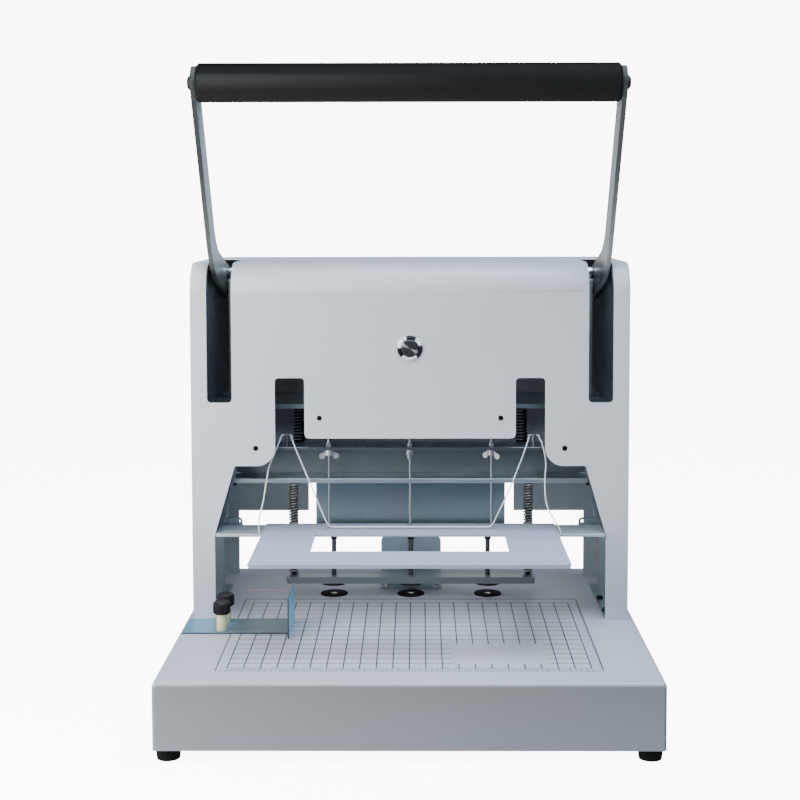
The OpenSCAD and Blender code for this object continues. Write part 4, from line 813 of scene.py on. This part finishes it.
def make_grip(material):
    """Foam sleeve with soft rounded ends and the slight waviness of a pushed-on tube."""
    low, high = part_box("grip_foam")
    bar_low, bar_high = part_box("handle_bar")
    radius = (high.z - low.z) / 2
    bore = (bar_high.z - bar_low.z) / 2
    centre = (low + high) / 2
    length = high.x - low.x
    profile = [(low.x, bore)]
    for i in range(GRIP_RINGS + 1):
        run = length * i / GRIP_RINGS
        near_end = min(run, length - run)
        inset = max(0.0, 1.0 - near_end / GRIP_EDGE)
        drop = GRIP_EDGE * (1.0 - math.sqrt(max(0.0, 1.0 - inset * inset)))
        wave = grip_wave(run) if near_end > GRIP_EDGE else 0.0
        profile.append((low.x + run, radius - drop + wave))
    profile.append((high.x, bore))
    points = [
        (x, centre.y + r * math.cos(a), centre.z + r * math.sin(a))
        for x, r in profile
        for a in (2 * math.pi * k / GRIP_SIDES for k in range(GRIP_SIDES))
    ]
    faces = []
    for i in range(len(profile)):
        near = i * GRIP_SIDES
        far = (i + 1) % len(profile) * GRIP_SIDES
        for k in range(GRIP_SIDES):
            after = (k + 1) % GRIP_SIDES
            faces.append((near + k, far + k, far + after, near + after))
    piece = new_piece("foam_grip", points, faces, material)
    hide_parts("grip_foam")
    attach(piece, "lever")


# Print on the base

PRINT_T = 0.05 * MM
GRID_PITCH = 14.55 * MM
GRID_X = 11 * GRID_PITCH
GRID_Y = (-162.2 * MM, -162.2 * MM + 15 * GRID_PITCH)
BORDER_X = 169.5 * MM
BORDER_Y = (-169.1 * MM, 69.6 * MM)
LABEL_X = (39.0 * MM, 124.0 * MM)
LABEL_Y = (-149.0 * MM, -89.0 * MM)
LINE_W = 1.0 * MM
FINE_LINE_W = 0.8 * MM
BACK_LINE_W = 1.6 * MM
TICK_PITCH = GRID_PITCH / 3
TICK_L = 2.4 * MM
FENCE_TRAVEL = 50.0 * MM
SLOT_HALF = 3.4 * MM
FIGURE_SIZE = 3.2 * MM
FIGURE_STEPS = 2
FIGURE_PITCH = 10 * MM
FIGURES_X = 150 * MM
FIGURES_DEPTH = 200 * MM
FRONT_ROW_SHIFT = 1.2 * MM
RIGHT_ROW_SHIFT = -1.0 * MM
MARK_HALF = 0.8 * MM
MARK_BESIDE = 3.0 * MM
MARK_IN_FRONT = 8 * MM
GUIDE_LINE_X = (-172 * MM, -128 * MM)
GUIDE_LINE_Y = 105 * MM
GUIDE_LINE_W = 3.2 * MM


def fence_slots():
    """The fence's two slots in the base's top, each as low and high corner, from its posts at rest."""
    low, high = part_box("fence_posts")
    radius = (high.x - low.x) / 2
    x0 = low.x + radius - SLOT_HALF
    x1 = low.x + radius + FENCE_TRAVEL + SLOT_HALF
    return [((x0, y - SLOT_HALF), (x1, y + SLOT_HALF)) for y in (low.y + radius, high.y - radius)]


class Print:
    """Flat closed boxes of ink on the base's top face."""

    def __init__(self):
        self.points = []
        self.faces = []
        self.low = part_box("base_shell")[1].z
        self.slots = fence_slots()

    def line(self, x0, y0, x1, y1):
        """A box of ink, broken where it would lie over a slot."""
        for (left, near), (right, far) in self.slots:
            if x0 < right and x1 > left and y0 < far and y1 > near:
                if y1 - y0 > x1 - x0:
                    spans = [(x0, y0, x1, near), (x0, far, x1, y1)]
                else:
                    spans = [(x0, y0, left, y1), (right, y0, x1, y1)]
                for span in spans:
                    if span[0] < span[2] and span[1] < span[3]:
                        self.line(*span)
                return
        self.box(x0, y0, x1, y1)

    def box(self, x0, y0, x1, y1):
        start = len(self.points)
        for z in (self.low, self.low + PRINT_T):
            self.points.extend([(x0, y0, z), (x1, y0, z), (x1, y1, z), (x0, y1, z)])
        for face in ((3, 2, 1, 0), (4, 5, 6, 7), (0, 1, 5, 4), (1, 2, 6, 5), (2, 3, 7, 6), (3, 0, 4, 7)):
            self.faces.append(tuple(start + k for k in face))

    def square(self, x, y, half):
        self.box(x - half, y - half, x + half, y + half)

    def across(self, x0, x1, y, width):
        self.line(x0, y - width / 2, x1, y + width / 2)

    def along(self, x, y0, y1, width):
        self.line(x - width / 2, y0, x + width / 2, y1)

    def piece(self, name, material):
        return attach(new_piece(name, self.points, self.faces, material), "frame")


def spaced(low, high, pitch):
    return [low + i * pitch for i in range(int(round((high - low) / pitch)) + 1)]


def split_round(low, high, gap, crossing):
    """A line from low to high, broken where it crosses the label's gap."""
    return [(low, gap[0]), (gap[1], high)] if crossing else [(low, high)]


def print_grid(material):
    grid = Print()
    for x in spaced(-GRID_X, GRID_X, GRID_PITCH):
        crossing = LABEL_X[0] < x < LABEL_X[1]
        for y0, y1 in split_round(GRID_Y[0], GRID_Y[1], LABEL_Y, crossing):
            grid.along(x, y0, y1, LINE_W)
    for y in spaced(GRID_Y[0], GRID_Y[1], GRID_PITCH):
        crossing = LABEL_Y[0] < y < LABEL_Y[1]
        for x0, x1 in split_round(-GRID_X, GRID_X, LABEL_X, crossing):
            grid.across(x0, x1, y, FINE_LINE_W)
    for x in (-BORDER_X, BORDER_X):
        grid.along(x, BORDER_Y[0], BORDER_Y[1], LINE_W)
    for y, width in zip(BORDER_Y, (FINE_LINE_W, BACK_LINE_W)):
        grid.across(-BORDER_X, BORDER_X, y, width)
    for x in spaced(-GRID_X, GRID_X, TICK_PITCH):
        grid.along(x, BORDER_Y[0], BORDER_Y[0] + TICK_L, LINE_W)
        grid.along(x, BORDER_Y[1] - TICK_L, BORDER_Y[1], FINE_LINE_W)
    for y in spaced(GRID_Y[0], GRID_Y[1], TICK_PITCH):
        grid.across(BORDER_X - TICK_L, BORDER_X, y, FINE_LINE_W)
    grid.piece("grid_print", material)


def figure_mesh(number):
    """Points and faces of a short number, flat, centred on the origin."""
    curve = bpy.data.curves.new("figure", "FONT")
    curve.body = number
    curve.size = FIGURE_SIZE
    curve.align_x = "CENTER"
    curve.align_y = "CENTER"
    curve.resolution_u = FIGURE_STEPS
    curve.extrude = PRINT_T / 2
    obj = bpy.data.objects.new("figure", curve)
    SCENE.collection.objects.link(obj)
    bpy.context.view_layer.update()
    mesh = bpy.data.meshes.new_from_object(obj.evaluated_get(bpy.context.evaluated_depsgraph_get()))
    points = [v.co.copy() for v in mesh.vertices]
    faces = [tuple(p.vertices) for p in mesh.polygons]
    bpy.data.objects.remove(obj)
    bpy.data.curves.remove(curve)
    bpy.data.meshes.remove(mesh)
    return points, faces


def print_figures(material):
    """Plain numbers in the border, counted in centimetres from the middle and from the back."""
    figures = Print()
    z = figures.low + PRINT_T / 2

    def put(number, x, y):
        points, faces = figure_mesh(number)
        start = len(figures.points)
        figures.points.extend((x + p.x, y + p.y, z + p.z) for p in points)
        figures.faces.extend(tuple(start + k for k in face) for face in faces)

    front_row = (BORDER_Y[0] + GRID_Y[0]) / 2 + FRONT_ROW_SHIFT
    right_row = (BORDER_X + GRID_X) / 2 + RIGHT_ROW_SHIFT
    for x in spaced(-FIGURES_X, FIGURES_X, FIGURE_PITCH):
        put(str(abs(round(x / FIGURE_PITCH))), x, front_row)
    for y in spaced(GRID_Y[1] - FIGURES_DEPTH, GRID_Y[1], FIGURE_PITCH):
        put(str(round((GRID_Y[1] - y) / FIGURE_PITCH)), right_row, y)
    figures.piece("grid_figures", material)


def print_marks(material, red):
    """Small marks in front of and beside each die, and the faint red line of the guide light."""
    low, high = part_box("die_discs")
    radius = (high.y - low.y) / 2
    middle_y = (low.y + high.y) / 2
    marks = Print()
    for x in (low.x + radius, 0.0, high.x - radius):
        marks.square(x - (radius + MARK_BESIDE), middle_y, MARK_HALF)
        marks.square(x, low.y - MARK_IN_FRONT, MARK_HALF)
    marks.piece("die_marks", material)
    line = Print()
    line.across(GUIDE_LINE_X[0], GUIDE_LINE_X[1], GUIDE_LINE_Y, GUIDE_LINE_W)
    line.piece("guide_line", red)


# Screw threads on the needles' heads

SCREW_PITCH = 0.7 * MM
SCREW_RIDGE = 0.16 * MM
SCREW_SIDES = 6
SCREW_MARGIN = 0.3 * MM


def needle_threads(material):
    """A fine helix round each needle head, above its nut."""
    low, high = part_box("thread_needles")
    radius = (high.y - low.y) / 2
    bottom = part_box("needle_nuts")[1].z + SCREW_MARGIN
    top = high.z - SCREW_MARGIN
    turns = max(1, int((top - bottom) / SCREW_PITCH))
    points, faces = [], []
    for x in (low.x + radius, 0.0, high.x - radius):
        path = coil_path((x, (low.y + high.y) / 2), radius, 0.0, turns, bottom, top)[1:-1]
        more_points, more_faces = tube(path, SCREW_RIDGE, SCREW_SIDES, offset=len(points))
        points.extend(more_points)
        faces.extend(more_faces)
    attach(new_piece("needle_head_threads", points, faces, material), "ram")


# Stage: white floor and backdrop, world and soft studio lights

STAGE_REACH = 30.0
STAGE_WHITE = (0.92, 0.92, 0.92)
STAGE_GLOW = 9.0
WORLD_COLOUR = (0.74, 0.87, 1.0, 1.0)
WORLD_STRENGTH = 0.27


def stage_piece(name, points, faces):
    """A white surface that shows behind the machine and doesn't light it."""
    material, tree, shader = new_material("stage_" + name)
    vary(tree, shader, noise(tree, place(tree), 0.8), STAGE_WHITE, 0.004)
    shader.inputs["Roughness"].default_value = 0.8
    shader.inputs["Emission Color"].default_value = (1.0, 1.0, 1.0, 1.0)
    shader.inputs["Emission Strength"].default_value = STAGE_GLOW
    mesh = bpy.data.meshes.new(name)
    mesh.from_pydata(points, [], faces)
    mesh.materials.append(material)
    piece = bpy.data.objects.new(name, mesh)
    piece.visible_diffuse = False
    piece.visible_glossy = False
    piece.visible_transmission = False
    piece.visible_shadow = False
    SCENE.collection.objects.link(piece)


def make_stage():
    r = STAGE_REACH
    corners = [(-r, -r), (r, -r), (r, r), (-r, r)]
    floor = [(x, y, 0.0) for x, y in corners]
    ring = floor + [(x, y, r) for x, y in corners]
    walls = [(0, 1, 5, 4), (1, 2, 6, 5), (2, 3, 7, 6), (3, 0, 4, 7), (4, 5, 6, 7)]
    stage_piece("floor", floor, [(0, 1, 2, 3)])
    stage_piece("backdrop", ring, walls)
    world = bpy.data.worlds.new("studio")
    world.use_nodes = True
    background = world.node_tree.nodes["Background"]
    background.inputs["Color"].default_value = WORLD_COLOUR
    background.inputs["Strength"].default_value = WORLD_STRENGTH
    SCENE.world = world


# Lights: name, place, size, power in watts, colour and the point aimed at

MACHINE = (0.0, 0.0, 0.25)
WARM = (1.0, 0.985, 0.96)
COOL = (0.68, 0.84, 1.0)
PALE = (0.88, 0.94, 1.0)
LIGHTS = (
    ("key_left", (-0.66, -0.45, 0.42), (0.8, 0.8), 11.6, WARM, MACHINE),
    ("front_high", (0.6, -1.15, 1.15), (0.9, 0.7), 5.0, COOL, MACHINE),
    ("top", (0.15, -0.25, 1.5), (1.2, 1.0), 45.0, COOL, MACHINE),
    ("column_glow", (0.0, 0.005, 0.37), (0.37, 0.03), 0.045, PALE, (0.0, 0.3, 0.30)),
    ("bay_glow", (0.0, 0.052, 0.195), (0.36, 0.02), 0.08, PALE, (0.0, 0.3, 0.12)),
    ("tray_glow", (0.0, -0.115, 0.150), (0.28, 0.05), 0.09, PALE, (0.0, -0.115, 0.0)),
    ("die_glow", (-0.05, 0.030, 0.140), (0.28, 0.04), 0.055, PALE, (-0.05, 0.030, 0.0)),
    ("rear_glow", (0.0, 0.150, 0.130), (0.36, 0.03), 0.066, PALE, (0.0, 0.110, 0.07)),
)


def soft_light(name, at, size, power, colour, aim):
    data = bpy.data.lights.new(name, "AREA")
    data.shape = "RECTANGLE"
    data.size, data.size_y = size
    data.energy = power
    data.color = colour
    light = bpy.data.objects.new(name, data)
    light.location = at
    light.rotation_euler = (Vector(aim) - Vector(at)).to_track_quat("-Z", "Y").to_euler()
    light.visible_camera = False
    SCENE.collection.objects.link(light)


def make_lights():
    """A warm key from the left, cool light from above and the right, and faint glows about the column."""
    for light in LIGHTS:
        soft_light(*light)


make_camera()
MATERIALS = make_materials()
make_thread(MATERIALS["white_thread"])
dress_nodes(MATERIALS)
wound_springs("press_springs", PRESS_WIRE, PRESS_TURNS, MATERIALS["spring_wire"])
wound_springs("return_springs", RETURN_WIRE, RETURN_TURNS, MATERIALS["return_springs"])
make_grip(MATERIALS["black_foam"])
print_grid(MATERIALS["grid_ink"])
print_figures(MATERIALS["grid_ink"])
print_marks(MATERIALS["grid_ink"], MATERIALS["red_guide_light"])
needle_threads(MATERIALS["bright_steel"])
make_stage()
make_lights()
